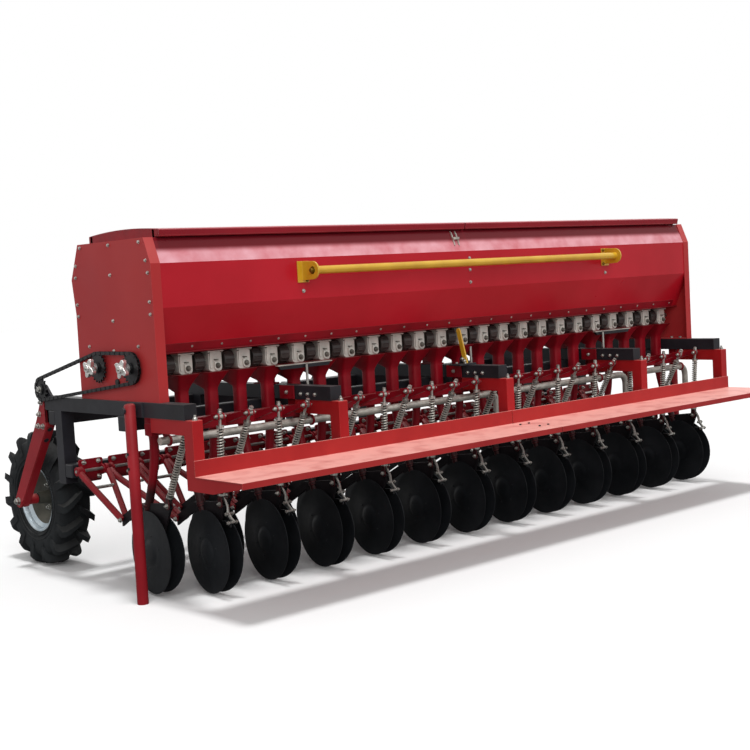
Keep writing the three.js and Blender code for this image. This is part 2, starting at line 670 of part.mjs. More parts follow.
function addHopper(group) {
  group.add(mesh("hopper_rear_wall", hopperWall(-1), RED));
  group.add(mesh("hopper_front_wall", frontWall(), RED));
  group.add(mesh("hopper_floor", hopperFloor(), DARK_RED));
  group.add(mesh("hopper_partition", partition(), RED));
  for (const side of SIDES) {
    group.add(mesh(sideName("hopper_divider", side), divider(side), RED));
    group.add(mesh(sideName("end_panel", side), endPanel(side), RED));
  }
  [-INNER_RAIL_X, 0, INNER_RAIL_X].forEach((x, i) => {
    group.add(mesh(`hopper_stay_${i + 1}`, hopperStay(x), DARK_RED));
  });
}

// ---- Lids ---------------------------------------------------------------------------------------
function lid(side) {
  const skirtBottom = LID_EDGE_Z - LID_SKIRT;
  const middle = (LID_REAR + LID_FRONT) / 2;
  const half = (LID_FRONT - LID_REAR) / 2;
  const crown = [-1, -0.6, -0.2, 0.2, 0.6, 1].map((t) => [
    middle + t * half,
    LID_EDGE_Z + LID_CROWN * (1 - t * t),
  ]);
  const line = [[LID_REAR, skirtBottom], ...crown, [LID_FRONT, skirtBottom]];
  const near = side * LID_GAP;
  const far = side * LID_HALF_LENGTH;
  const rest = HOPPER_TOP + SEAT;
  const top = prism("yz", sheet(line, -LID_SHEET), near, far);
  // An end's edge lies within the sheet's thickness.
  const inside = LID_SHEET / 2;
  const endOutline = [
    [LID_REAR + inside, skirtBottom + 1],
    [HOPPER_Y - HOPPER_HALF_TOP + 8, skirtBottom + 1],
    [HOPPER_Y - HOPPER_HALF_TOP + 8, rest],
    [HOPPER_Y + HOPPER_HALF_TOP - 8, rest],
    [HOPPER_Y + HOPPER_HALF_TOP - 8, skirtBottom + 1],
    [LID_FRONT - inside, skirtBottom + 1],
    ...crown
      .map(([y, z]) => [y + (inside * (middle - y)) / half, z - inside])
      .reverse(),
  ];
  const ends = [near, far - side * SHEET].map((x) => prism("yz", endOutline, x, x + side * SHEET));
  const bars = [-1, 1].map((end) => {
    const y = HOPPER_Y + end * (HOPPER_HALF_TOP - 16);
    return box([near, far], [y - 8, y + 8], [rest, LID_EDGE_Z + 1]);
  });
  const lugs = hingeCentres()
    .filter((x) => Math.sign(x) === side)
    .map((x) => {
      const lug = [
        [LID_FRONT - 2, LID_EDGE_Z - 12],
        [LID_HINGE_Y - 4, LID_HINGE_Z - 11],
        [LID_HINGE_Y + 6, LID_HINGE_Z - 9],
        [LID_HINGE_Y + 11, LID_HINGE_Z + 2],
        [LID_HINGE_Y + 6, LID_HINGE_Z + 11],
        [LID_FRONT - 2, LID_EDGE_Z - 1],
      ];
      return prism("yz", lug, x - HINGE_LUG / 2, x + HINGE_LUG / 2);
    });
  const bores = hingeCentres().map((x) =>
    boreX(x - 20, x + 20, LID_HINGE_Y, LID_HINGE_Z, HINGE_PIN_RADIUS + PIN_CLEARANCE, 12),
  );
  return cut(join(top, ends, bars, lugs), bores);
}

// ---- Metering -----------------------------------------------------------------------------------
function meteringBank(y) {
  const under = offsetLine(floorLine(), -SHEET - SEAT)[2][1];
  const shaft = alongX(-STAR_HUB_INNER + 1, STAR_HUB_INNER - 1, y, METER_Z, METER_SHAFT_RADIUS, 4);
  const half = METER_DEPTH / 2;
  const outline = [
    [y - half * 0.6, METER_BOTTOM],
    [y + half * 0.6, METER_BOTTOM],
    [y + half, under],
    [y - half, under],
  ];
  const housings = Array.from({ length: ROWS }, (_, row) =>
    prism("yz", outline, rowX(row) - METER_WIDTH / 2, rowX(row) + METER_WIDTH / 2),
  );
  return join(shaft, housings);
}

// A funnel: a wide mouth that narrows to a square throat and spout.
function funnel(x) {
  const top = METER_BOTTOM - SEAT;
  const half = FUNNEL_THROAT / 2;
  const mouth = [
    [x - FUNNEL_TOP_WIDTH / 2, FUNNEL_TOP_REAR],
    [x + FUNNEL_TOP_WIDTH / 2, FUNNEL_TOP_REAR],
    [x + FUNNEL_TOP_WIDTH / 2, FUNNEL_TOP_FRONT],
    [x - FUNNEL_TOP_WIDTH / 2, FUNNEL_TOP_FRONT],
  ].map(([px, py]) => [px, py, top]);
  const throat = [
    [x - half, FUNNEL_Y - half],
    [x + half, FUNNEL_Y - half],
    [x + half, FUNNEL_Y + half],
    [x - half, FUNNEL_Y + half],
  ].map(([px, py]) => [px, py, FUNNEL_THROAT_Z]);
  const geometry = new THREE.BufferGeometry();
  const corners = new Float32Array([...throat, ...mouth].flat());
  geometry.setAttribute("position", new THREE.BufferAttribute(corners, 3));
  const walls = [0, 1, 2, 3].flatMap((i) => {
    const j = (i + 1) % 4;
    return [i, j, j + 4, i, j + 4, i + 4];
  });
  geometry.setIndex([0, 2, 1, 0, 3, 2, 4, 5, 6, 4, 6, 7, ...walls]);
  const tube = box(
    [x - half, x + half],
    [FUNNEL_Y - half, FUNNEL_Y + half],
    [FUNNEL_BOTTOM, FUNNEL_THROAT_Z],
  );
  return join(solid(geometry), tube);
}

function seedFunnels() {
  const top = METER_BOTTOM - SEAT;
  const strip = box(
    [-HOPPER_INNER_X, HOPPER_INNER_X],
    [FUNNEL_TOP_FRONT - 25, FUNNEL_TOP_FRONT + 5],
    [top - FUNNEL_STRIP, top],
  );
  return join(strip, Array.from({ length: ROWS }, (_, row) => funnel(rowX(row))));
}

// ---- Coulter pressure gear ----------------------------------------------------------------------
function rockShaft() {
  const half = ROCK_SHAFT_SIZE / 2;
  const top = ROCK_SHAFT_Z + half;
  const tube = box(
    [-ROCK_HALF_LENGTH, ROCK_HALF_LENGTH],
    [ROCK_SHAFT_Y - half, ROCK_SHAFT_Y + half],
    [ROCK_SHAFT_Z - half, top],
  );
  const saddles = RAILS_X.map((x) =>
    box([x - 12, x + 12], [ROCK_SHAFT_Y - half, ROCK_SHAFT_Y + half], [top - 2, UNDER_RAIL]),
  );
  const tip = ROD_HEAD_Y + ROD_HEAD_SIZE / 2 + SEAT;
  const outline = [
    [tip, ROD_HEAD_Z - 4],
    [ROCK_SHAFT_Y - half + 2, ROCK_SHAFT_Z - half + 10],
    [ROCK_SHAFT_Y - half + 2, top - 4],
    [tip, ROD_HEAD_Z + 12],
  ];
  const levers = Array.from({ length: ROWS }, (_, row) =>
    prism("yz", outline, rowX(row) - LEVER_THICKNESS / 2, rowX(row) + LEVER_THICKNESS / 2),
  );
  return join(tube, saddles, levers);
}

function pressurePipe() {
  const pipe = alongX(-PIPE_HALF_LENGTH, PIPE_HALF_LENGTH, 0, PIPE_Z, PIPE_RADIUS, 12);
  const face = ROCK_SHAFT_Y - ROCK_SHAFT_SIZE / 2 - SEAT;
  const plates = RAILS_X.map((x) => {
    const at = x - (Math.sign(x) || -1) * PIPE_PLATE_OFFSET;
    return prism(
      "yz",
      [
        [-12, PIPE_Z - 5],
        [12, PIPE_Z - 5],
        [face, ROCK_SHAFT_Z - 15],
        [face, ROCK_SHAFT_Z + 15],
        [-12, PIPE_Z + 12],
      ],
      at - PIPE_PLATE / 2,
      at + PIPE_PLATE / 2,
    );
  });
  return join(pipe, plates);
}

// One opener: two drag arms to a boot, two discs on the boot's hub, a seed tube and a spring rod.
function opener(x, discY, rodFootY) {
  const apex = [x, discY + DISC_RADIUS + APEX_AHEAD, DISC_Z + APEX_RISE];
  const beamFace = OPENER_BEAM_REAR - SEAT;
  const arms = dragArms([x, beamFace - ARM_HEIGHT / 2, OPENER_BEAM_Z], apex);
  const rodFootZ = DISC_Z + ROD_FOOT_RISE;
  const overDiscs = (beyond, degrees) => {
    const angle = THREE.MathUtils.degToRad(degrees);
    const reach = DISC_RADIUS + beyond;
    return [discY + reach * Math.cos(angle), DISC_Z + reach * Math.sin(angle)];
  };
  const bootLine = [
    [rodFootY - 16, rodFootZ - 8],
    [discY - 30, DISC_Z],
    [discY + 26, DISC_Z - 20],
    overDiscs(BOOT_NECK, 56.6),
    [apex[1] + 6, apex[2] - 24],
    [apex[1] + 8, apex[2] + 20],
    overDiscs(BOOT_BACK, 60.7),
    [rodFootY + 16, rodFootZ + 10],
  ];
  const boot = prism("yz", bootLine, x - BOOT_WIDTH / 2, x + BOOT_WIDTH / 2);
  const hubEnd = DISC_RADIUS * Math.sin(THREE.MathUtils.degToRad(DISC_HALF_ANGLE)) + DISC_PAIR_GAP;
  const hub = alongX(x - hubEnd, x + hubEnd, discY, DISC_Z, DISC_HUB_RADIUS, 6);
  const discs = SIDES.map((side) => disc(x, discY, side));
  // The tube leans, so its upper end is set down until its highest corner clears the funnel.
  const tubeFoot = [x, discY + SEED_TUBE_AHEAD, DISC_Z + DISC_RADIUS - 15];
  const lean = Math.atan2(Math.abs(FUNNEL_Y - tubeFoot[1]), FUNNEL_BOTTOM - tubeFoot[2]);
  const tubeTop = FUNNEL_BOTTOM - SEAT - SEED_TUBE_RADIUS * Math.sin(lean);
  const tube = bar([x, FUNNEL_Y, tubeTop], tubeFoot, SEED_TUBE_RADIUS, 6);
  const half = ROD_HEAD_SIZE / 2;
  const head = box(
    [x - 13, x + 13],
    [ROD_HEAD_Y - half, ROD_HEAD_Y + half],
    [ROD_HEAD_Z - ROD_HEAD_HEIGHT / 2, ROD_HEAD_Z + ROD_HEAD_HEIGHT / 2],
  );
  const rodTop = new THREE.Vector3(x, ROD_HEAD_Y, ROD_HEAD_Z);
  const rodFoot = new THREE.Vector3(x, rodFootY, rodFootZ);
  const at = (share) => rodTop.clone().lerp(rodFoot, share).toArray();
  const rod = bar(at(0), at(0.2), ROD_RADIUS, 4);
  const spring = bar(at(0.12), at(1), SPRING_RADIUS, 6);
  return [arms, boot, hub, ...discs, tube, head, rod, spring];
}

// Two flat bars in one sloping plane, from either side of the root to where they meet at the tip.
function dragArms(root, tip) {
  const start = new THREE.Vector3(...root);
  const along = new THREE.Vector3(...tip).sub(start);
  const length = along.length();
  const outline = [
    [-ARM_SPREAD, 0],
    [-ARM_SPREAD + 2 * ARM_WIDTH, 0],
    [0, length - 6 * ARM_WIDTH],
    [ARM_SPREAD - 2 * ARM_WIDTH, 0],
    [ARM_SPREAD, 0],
    [ARM_WIDTH, length],
    [-ARM_WIDTH, length],
  ];
  const shape = new THREE.Shape(outline.map(([a, b]) => new THREE.Vector2(a, b)));
  const geometry = new THREE.ExtrudeGeometry(shape, { depth: ARM_HEIGHT, bevelEnabled: false });
  geometry.translate(0, 0, -ARM_HEIGHT / 2);
  const across = new THREE.Vector3(1, 0, 0);
  const down = along.clone().normalize();
  const up = across.clone().cross(down);
  geometry.applyMatrix4(new THREE.Matrix4().makeBasis(across, down, up));
  return solid(geometry.translate(start.x, start.y, start.z));
}

function disc(x, y, side) {
  const tilt = side * THREE.MathUtils.degToRad(DISC_HALF_ANGLE);
  const away = DISC_RADIUS * Math.abs(Math.sin(tilt)) + (DISC_THICKNESS + DISC_PAIR_GAP) / 2;
  const geometry = new THREE.CylinderGeometry(
    DISC_RADIUS,
    DISC_RADIUS,
    DISC_THICKNESS,
    DISC_SIDES,
  );
  geometry.rotateZ(Math.PI / 2).rotateZ(tilt);
  return solid(geometry.translate(x + side * away, y, DISC_Z));
}

// A front-row opener and the rear-row opener beside it share one plate on the opener beam.
function openerPair(pair) {
  const frontX = rowX(2 * pair);
  const rearX = rowX(2 * pair + 1);
  const beamFace = OPENER_BEAM_REAR - SEAT;
  const carrier = box(
    [frontX - ARM_SPREAD - CARRIER_MARGIN, rearX + ARM_SPREAD + CARRIER_MARGIN],
    [beamFace - CARRIER_PLATE, beamFace],
    [OPENER_BEAM_Z - CARRIER_HALF_HEIGHT, OPENER_BEAM_Z + CARRIER_HALF_HEIGHT],
  );
  const front = opener(frontX, ROW_STAGGER, FRONT_ROD_FOOT_Y);
  const rear = opener(rearX, 0, REAR_ROD_FOOT_Y);
  return join(carrier, front, rear);
}

// ---- Wheels -------------------------------------------------------------------------------------
const tyre = () =>
  turned(
    [
      [-RIM_WIDTH / 2 + 8, RIM_RADIUS + SEAT],
      [RIM_WIDTH / 2 - 8, RIM_RADIUS + SEAT],
      [TYRE_WIDTH / 2 - 8, RIM_RADIUS + 36],
      [TYRE_WIDTH / 2, TYRE_RADIUS - 84],
      [TYRE_WIDTH / 2 - 7, TYRE_RADIUS - 30],
      [TYRE_WIDTH / 2 - 24, TYRE_RADIUS - 4],
      [0, TYRE_RADIUS],
      [-TYRE_WIDTH / 2 + 24, TYRE_RADIUS - 4],
      [-TYRE_WIDTH / 2 + 7, TYRE_RADIUS - 30],
      [-TYRE_WIDTH / 2, TYRE_RADIUS - 84],
      [-TYRE_WIDTH / 2 + 8, RIM_RADIUS + 36],
    ],
    WHEEL_SIDES,
  );

// The rim's dished disc stands towards the arm that carries the wheel.
function rim(side) {
  const profile = [
    [-HUB_HALF_LENGTH, AXLE_RADIUS + PIN_CLEARANCE],
    [-HUB_HALF_LENGTH, HUB_RADIUS],
    [4, HUB_RADIUS],
    [18, 90],
    [-RIM_WIDTH / 2, RIM_RADIUS - 14],
    [-RIM_WIDTH / 2, RIM_RADIUS],
    [RIM_WIDTH / 2, RIM_RADIUS],
    [RIM_WIDTH / 2, RIM_RADIUS - 14],
    [26, 100],
    [12, HUB_RADIUS],
    [HUB_HALF_LENGTH, HUB_RADIUS],
    [HUB_HALF_LENGTH, AXLE_RADIUS + PIN_CLEARANCE],
  ];
  const faced = side > 0 ? profile : profile.map(([x, radius]) => [-x, radius]).reverse();
  return turned(faced, WHEEL_SIDES);
}

function wheelGroup(side) {
  const wheel = new THREE.Group();
  wheel.position.set(side * WHEEL_X, WHEEL_Y, TYRE_RADIUS);
  wheel.add(mesh(sideName("tyre", side), tyre(), RUBBER));
  wheel.add(mesh(sideName("rim", side), rim(side), RIM_PAINT));
  return wheel;
}

// A channel bolted to a rail's front end, with the axle through its foot.
function wheelArm(side) {
  const root = RAIL_FRONT + SEAT;
  const line = [
    [root, RAIL_TOP],
    [root, RAIL_BOTTOM - 60],
    [root + 38, RAIL_BOTTOM - 110],
    [WHEEL_Y - 52, TYRE_RADIUS - 10],
    [WHEEL_Y - 18, TYRE_RADIUS - 42],
    [WHEEL_Y + 26, TYRE_RADIUS - 36],
    [WHEEL_Y + 38, TYRE_RADIUS + 14],
    [root + 112, RAIL_BOTTOM - 78],
    [root + 88, RAIL_TOP],
  ];
  const outer = side * OUTER_FACE_X;
  const inner = side * (OUTER_RAIL_X - RAIL_WIDTH / 2);
  const web = outer - side * ARM_WALL;
  const hollow = offsetLine([...line, line[0]], ARM_WALL).slice(0, -1);
  hollow[0] = [root + ARM_WALL, RAIL_TOP - ARM_WALL];
  const channel = cut(
    prism("yz", line, outer, inner),
    prism("yz", hollow, web, inner - side * 5),
  );
  const hubOuter = side * (WHEEL_X + HUB_HALF_LENGTH + HUB_PLAY);
  const hubInner = side * (WHEEL_X - HUB_HALF_LENGTH - HUB_PLAY);
  const axle = alongX(outer + side * 6, hubInner - side * 6, WHEEL_Y, TYRE_RADIUS, AXLE_RADIUS, 16);
  const collar = alongX(web, hubOuter, WHEEL_Y, TYRE_RADIUS, AXLE_RADIUS + COLLAR, 16);
  const cap = alongX(hubInner, hubInner - side * 12, WHEEL_Y, TYRE_RADIUS, AXLE_RADIUS + COLLAR, 6);
  const nut = alongX(outer - side, outer + side * 14, WHEEL_Y, TYRE_RADIUS, AXLE_RADIUS + 8, 6);
  return join(channel, axle, collar, cap, nut);
}

// ---- Parking stands -----------------------------------------------------------------------------
function stand(side) {
  const x = side * STAND_X;
  const pipe = bar([x, STAND_Y, 0], [x, STAND_Y, STAND_PIVOT_Z + STAND_OVER_PIVOT], STAND_RADIUS, 16);
  const bore = boreX(
    x - 40,
    x + 40,
    STAND_Y,
    STAND_PIVOT_Z,
    STAND_BOLT_RADIUS + PIN_CLEARANCE,
    12,
  );
  return cut(pipe, bore);
}

// ---- Footboard ----------------------------------------------------------------------------------
function footboardBracket(x) {
  const inner = BOARD_INNER + BRACKET_POST;
  const armTop = BOARD_TOP - BOARD_SHEET - SEAT;
  const outline = [
    [BOARD_INNER, UNDER_RAIL],
    [BOARD_INNER, armTop],
    [BOARD_REAR + BOARD_SHEET + 2, armTop],
    [BOARD_REAR + BOARD_SHEET + 2, BOARD_TOP - BOARD_LIP + 2],
    [BOARD_REAR + BRACKET_TAPER, armTop - BRACKET_ARM],
    [inner, armTop - BRACKET_ARM],
    [inner, UNDER_RAIL - BRACKET_BAR],
    [BRACKET_FRONT, UNDER_RAIL - BRACKET_BAR],
    [BRACKET_FRONT, UNDER_RAIL],
  ];
  return prism("yz", outline, x - BRACKET_WIDTH / 2, x + BRACKET_WIDTH / 2);
}

function footboard(side) {
  const inner = BOARD_INNER - SEAT;
  const line = [
    [BOARD_REAR, BOARD_TOP - BOARD_LIP],
    [BOARD_REAR, BOARD_TOP],
    [inner - BOARD_SHEET, BOARD_TOP],
    [inner - BOARD_SHEET, BOARD_TOP + BOARD_UPSTAND],
  ];
  return prism("yz", sheet(line, -BOARD_SHEET), side * BOARD_GAP, side * BOARD_HALF_LENGTH);
}

// ---- Small fittings -----------------------------------------------------------------------------
function grabRail() {
  const wall = HOPPER_Y - HOPPER_HALF_BELLY - SEAT;
  const rail = alongX(
    -GRAB_HALF_LENGTH - 6,
    GRAB_HALF_LENGTH + 6,
    GRAB_Y,
    GRAB_Z,
    GRAB_RADIUS,
    12,
  );
  const plates = SIDES.flatMap((side) => {
    const x = side * GRAB_HALF_LENGTH;
    const outline = [
      [wall, GRAB_Z + 42],
      [GRAB_Y, GRAB_Z + 42],
      [GRAB_Y - 30, GRAB_Z + 29],
      [GRAB_Y - 42, GRAB_Z],
      [GRAB_Y - 30, GRAB_Z - 29],
      [GRAB_Y, GRAB_Z - 42],
      [wall, GRAB_Z - 42],
    ];
    const plate = prism("yz", outline, x - GRAB_PLATE / 2, x + GRAB_PLATE / 2);
    const foot = box(
      [x - GRAB_FOOT / 2, x + GRAB_FOOT / 2],
      [wall - 6, wall],
      [GRAB_Z - 50, GRAB_Z + 42],
    );
    return [plate, foot];
  });
  return join(rail, plates);
}

function rateLever() {
  const foot = RAIL_TOP + SEAT;
  const base = box([-92, RAIL_WIDTH / 2], [-30, 20], [foot, foot + LEVER_BASE]);
  const lever = box([-84, -56], [-8, -2], [foot, foot + LEVER_HEIGHT]);
  return join(base, lever);
}

// Two driven sprockets on the metering shafts and an idler, with the chain round them as one band.
function chainDrive(side) {
  const near = side * (CHAIN_X - CHAIN_WIDTH / 2);
  const far = side * (CHAIN_X + CHAIN_WIDTH / 2);
  const wheels = [
    [REAR_METER_Y, METER_Z, DRIVEN_RADIUS, METER_SHAFT_RADIUS],
    [FRONT_METER_Y, METER_Z, DRIVEN_RADIUS, METER_SHAFT_RADIUS],
    [IDLER_Y, IDLER_Z, IDLER_RADIUS, STUB_RADIUS],
  ];
  const around = (grow) => hull2d(wheels.flatMap(([y, z, r]) => circle(y, z, r + grow, 12)));
  const band = cut(
    prism("yz", around(CHAIN_THICKNESS), near, far),
    prism("yz", around(0), near - side * 2, far + side * 2),
  );
  const sprockets = wheels.map(([y, z, r]) => alongX(near, far, y, z, r + 1, 12));
  const sleeves = wheels
    .slice(0, 2)
    .flatMap(([y, z]) => [
      alongX(near, side * STAR_HUB_INNER, y, z, METER_SHAFT_RADIUS + 9, 8),
      alongX(side * (STAR_HUB_INNER - 4), side * STAR_HUB_OUTER, y, z, STAR_HUB_RADIUS, 8),
    ]);
  const bores = wheels.map(([y, z, , shaft], i) => {
    const end = i < 2 ? STAR_HUB_INNER - 0.5 : STAR_HUB_INNER;
    return boreX(side * (HOPPER_HALF_LENGTH - 20), side * end, y, z, shaft + SEAT, 12);
  });
  return cut(join(band, sprockets, sleeves), bores);
}

// ---- Assembly -----------------------------------------------------------------------------------
const drill = new THREE.Group();
drill.position.y = -ORIGIN_Y;

addFrame(drill);
drill.add(mesh("headstock", headstock(), BLACK));
addHopper(drill);
drill.add(mesh("metering_bank_rear", meteringBank(REAR_METER_Y), CAST_ALUMINIUM));
drill.add(mesh("metering_bank_front", meteringBank(FRONT_METER_Y), CAST_ALUMINIUM));
drill.add(mesh("seed_funnels", seedFunnels(), DARK_RED));
drill.add(mesh("rock_shaft", rockShaft(), DARK_RED));
drill.add(mesh("pressure_pipe", pressurePipe(), STEEL));
for (let pair = 0; pair < ROWS / 2; pair++) {
  const name = "opener_pair_" + String(pair + 1).padStart(2, "0");
  drill.add(mesh(name, openerPair(pair), DISC_STEEL));
}
for (const side of SIDES) {
  drill.add(wheelGroup(side));
  drill.add(mesh(sideName("wheel_arm", side), wheelArm(side), RED));
  drill.add(mesh(sideName("stand", side), stand(side), RED));
  drill.add(mesh(sideName("lid", side), lid(side), RED));
  drill.add(mesh(sideName("footboard", side), footboard(side), RED));
  drill.add(mesh(sideName("chain_drive", side), chainDrive(side), BLACK));
}
RAILS_X.forEach((x, i) => {
  drill.add(mesh(`footboard_bracket_${i + 1}`, footboardBracket(x), RED));
});
drill.add(mesh("grab_rail", grabRail(), YELLOW));
drill.add(mesh("rate_lever", rateLever(), YELLOW));

export default drill;
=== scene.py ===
import math

import bmesh
import bpy
from mathutils import Matrix, Vector, geometry


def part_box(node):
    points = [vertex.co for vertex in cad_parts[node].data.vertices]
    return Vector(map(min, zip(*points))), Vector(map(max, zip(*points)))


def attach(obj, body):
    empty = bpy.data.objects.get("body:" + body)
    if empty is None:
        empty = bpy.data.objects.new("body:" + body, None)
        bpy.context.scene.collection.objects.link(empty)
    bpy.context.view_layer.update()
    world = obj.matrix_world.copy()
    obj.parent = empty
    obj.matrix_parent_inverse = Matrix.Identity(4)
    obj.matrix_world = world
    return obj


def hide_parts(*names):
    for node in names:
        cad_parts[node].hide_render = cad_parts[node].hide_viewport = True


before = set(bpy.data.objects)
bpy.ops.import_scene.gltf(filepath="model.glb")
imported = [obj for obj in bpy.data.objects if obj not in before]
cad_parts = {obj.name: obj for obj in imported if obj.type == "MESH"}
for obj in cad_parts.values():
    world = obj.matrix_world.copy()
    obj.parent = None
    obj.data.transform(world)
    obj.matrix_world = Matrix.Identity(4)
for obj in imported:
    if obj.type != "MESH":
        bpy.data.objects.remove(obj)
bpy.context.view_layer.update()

# ---- Driving sizes ----
ROWS = 24
ROW_PITCH = 0.150
ROW_STAGGER = 0.200
DISC_RADIUS = 0.175
DISC_HALF_ANGLE = math.radians(5)
DISC_HALF = 0.002  # half a disc's thickness
DISC_GAP = 0.0035  # between the two discs of an opener, where they come nearest
METER_ROWS = (0.132, 0.392)
METER_Z = 0.966
METER_TOP = 1.0085
ROD_HEAD = (-0.120, 0.750)
ROD_FEET = {"rear": (-0.096, 0.392), "front": (0.065, 0.392)}
PIPE_Z = 0.670
BOARD_TOP = 0.549
INNER_RAILS_X = (-1.045, 0.0, 1.045)
RAILS_X = (-1.786, *INNER_RAILS_X, 1.786)
RAIL_HALF = 0.030  # half a rail's width
SIDES = (("left", -1), ("right", 1))
RIGHT, LEFT, AHEAD, BACK = (1, 0, 0), (-1, 0, 0), (0, 1, 0), (0, -1, 0)
UP, DOWN = (0, 0, 1), (0, 0, -1)

# ---- Places read from the frame ----
PAIRS = [f"opener_pair_{i + 1:02d}" for i in range(ROWS // 2)]
REAR_AXIS_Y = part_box(PAIRS[0])[0].y + DISC_RADIUS
DISC_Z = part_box(PAIRS[0])[0].z + DISC_RADIUS
ARM_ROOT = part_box("wheel_arm_left")[0].y - REAR_AXIS_Y
OUTER_FACE_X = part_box("front_cross_beam")[1].x
RAIL_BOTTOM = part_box("footboard_bracket_1")[1].z
RAIL_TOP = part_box("rate_lever")[0].z
PANEL_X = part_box("end_panel_right")[1].x
BEAM_LOW, BEAM_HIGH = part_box("opener_beam")
BEAM_REAR = BEAM_LOW.y - REAR_AXIS_Y
BEAM_Z = (BEAM_LOW.z + BEAM_HIGH.z) / 2
TYRE_LOW, TYRE_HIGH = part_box("tyre_right")
WHEEL_X = (TYRE_LOW.x + TYRE_HIGH.x) / 2
WHEEL_Y = (TYRE_LOW.y + TYRE_HIGH.y) / 2 - REAR_AXIS_Y
TYRE_RADIUS = (TYRE_HIGH.z - TYRE_LOW.z) / 2
TYRE_HALF = (TYRE_HIGH.x - TYRE_LOW.x) / 2


def P(x, y, z):
    return Vector((x, REAR_AXIS_Y + y, z))


def row_x(row):
    return (row - (ROWS - 1) / 2) * ROW_PITCH


# ---- Shapes ----
class Shape:
    """Points and faces that become one mesh."""

    def __init__(self):
        self.points = []
        self.faces = []

    def add(self, points, faces):
        base = len(self.points)
        self.points.extend(tuple(p) for p in points)
        self.faces.extend(tuple(base + i for i in face) for face in faces)


def shapes(count):
    return [Shape() for _ in range(count)]


def mix(a, b, share):
    return a + (b - a) * share


def angles_round(count, turn=0.0):
    return [2 * math.pi * k / count + turn for k in range(count)]


def swing(angle, a, b):
    """What lies at an angle from a on the way to b, which is square to it."""
    return a * math.cos(angle) + b * math.sin(angle)


def cross_frame(direction):
    """Two unit vectors square to a direction."""
    along = Vector(direction).normalized()
    helper = Vector(UP if abs(along.z) < 0.9 else RIGHT)
    side = along.cross(helper).normalized()
    return side, along.cross(side).normalized()


def rings_to_faces(count, sides, closed=False):
    faces = []
    for ring in range(count if closed else count - 1):
        a = ring * sides
        b = (ring + 1) % count * sides
        for i in range(sides):
            j = (i + 1) % sides
            faces.append((a + i, a + j, b + j, b + i))
    if not closed:
        faces.append(tuple(reversed(range(sides))))
        faces.append(tuple((count - 1) * sides + i for i in range(sides)))
    return faces


def tube(shape, path, radius, sides=8, flat=1.0):
    """A round bar along a path; radius may be a list; flat squeezes it along its first cross axis."""
    path = [Vector(p) for p in path]
    radii = radius if isinstance(radius, list) else [radius] * len(path)
    points = []
    side = cross_frame(path[1] - path[0])[0]
    for i, centre in enumerate(path):
        along = (path[min(i + 1, len(path) - 1)] - path[max(i - 1, 0)]).normalized()
        side = (side - along * side.dot(along)).normalized()
        up = along.cross(side)
        points += [centre + swing(angle, side * flat, up) * radii[i] for angle in angles_round(sides)]
    shape.add(points, rings_to_faces(len(path), sides))


def turned(shape, origin, axis, profile, sides=24, closed=False):
    """A turned shape: the profile holds (distance along the axis, radius)."""
    axis = Vector(axis).normalized()
    side, up = cross_frame(axis)
    points = [origin + axis * along + swing(angle, side, up) * radius
              for along, radius in profile for angle in angles_round(sides)]
    shape.add(points, rings_to_faces(len(profile), sides, closed))


def cylinder(shape, origin, axis, radius, start, end, sides):
    """A plain cylinder, from one distance along its axis to another."""
    turned(shape, origin, axis, [(start, radius), (end, radius)], sides)


def prism(shape, outline, plane, low, high):
    """An outline in the xz, yz or xy plane, drawn out from low to high; y is from the disc axis."""
    count = len(outline)
    points = [{"yz": P(c, a, b), "xz": P(a, c, b), "xy": P(a, b, c)}[plane]
              for c in (low, high) for a, b in outline]
    faces = [tuple(range(count)), tuple(reversed(range(count, 2 * count)))]
    for i in range(count):
        j = (i + 1) % count
        faces.append((i, i + count, j + count, j))
    shape.add(points, faces)


def plate(shape, outline, x, half):
    """A plate square to X, that far either side of it."""
    prism(shape, outline, "yz", x - half, x + half)


def block(shape, x, y, z):
    """A box between two numbers on each axis, which may come in either order."""
    (x0, x1), (y0, y1), (z0, z1) = sorted(x), sorted(y), sorted(z)
    prism(shape, [(x0, y0), (x1, y0), (x1, y1), (x0, y1)], "xy", z0, z1)


def arc(centre, radius, start, end, steps):
    """Points round part of a circle; the angles are in degrees."""
    angles = [math.radians(mix(start, end, i / steps)) for i in range(steps + 1)]
    return [(centre[0] + radius * math.cos(a), centre[1] + radius * math.sin(a)) for a in angles]


def bolt(shape, at, direction, size=0.010, washer=True, stud=0.0):
    """A hexagon head on a washer, with a stud end past it if asked; size is half the head's width."""
    seat = 0.0015 if washer else 0.0
    start = seat + size * 0.9
    if washer:
        cylinder(shape, at, direction, size * 1.25, 0, seat, 14)
    turned(shape, at, direction, [(seat, size), (seat + size * 0.72, size), (start, size * 0.82)], 6)
    if stud:
        thread = [(start, size * 0.55), (start + stud * 0.9, size * 0.55), (start + stud, size * 0.42)]
        turned(shape, at, direction, thread, 8)


def bend(points, radius, steps):
    """Rounds the inner corners of a polyline."""
    out = [points[0]]
    for before, corner, after in zip(points, points[1:], points[2:]):
        reach = min(radius, (before - corner).length * 0.45, (after - corner).length * 0.45)
        a = corner + (before - corner).normalized() * reach
        b = corner + (after - corner).normalized() * reach
        for i in range(steps + 1):
            t = i / steps
            out.append(a * (1 - t) ** 2 + corner * 2 * t * (1 - t) + b * t**2)
    return out + [points[-1]]


def coil(shape, start, end, radius, wire, pitch):
    """A compression spring."""
    side, up = cross_frame(end - start)
    turns = (end - start).length / pitch
    steps = int(turns * 10)
    path = [start.lerp(end, i / steps) + swing(2 * math.pi * turns * i / steps, side, up) * radius
            for i in range(steps + 1)]
    tube(shape, path, wire, 5)


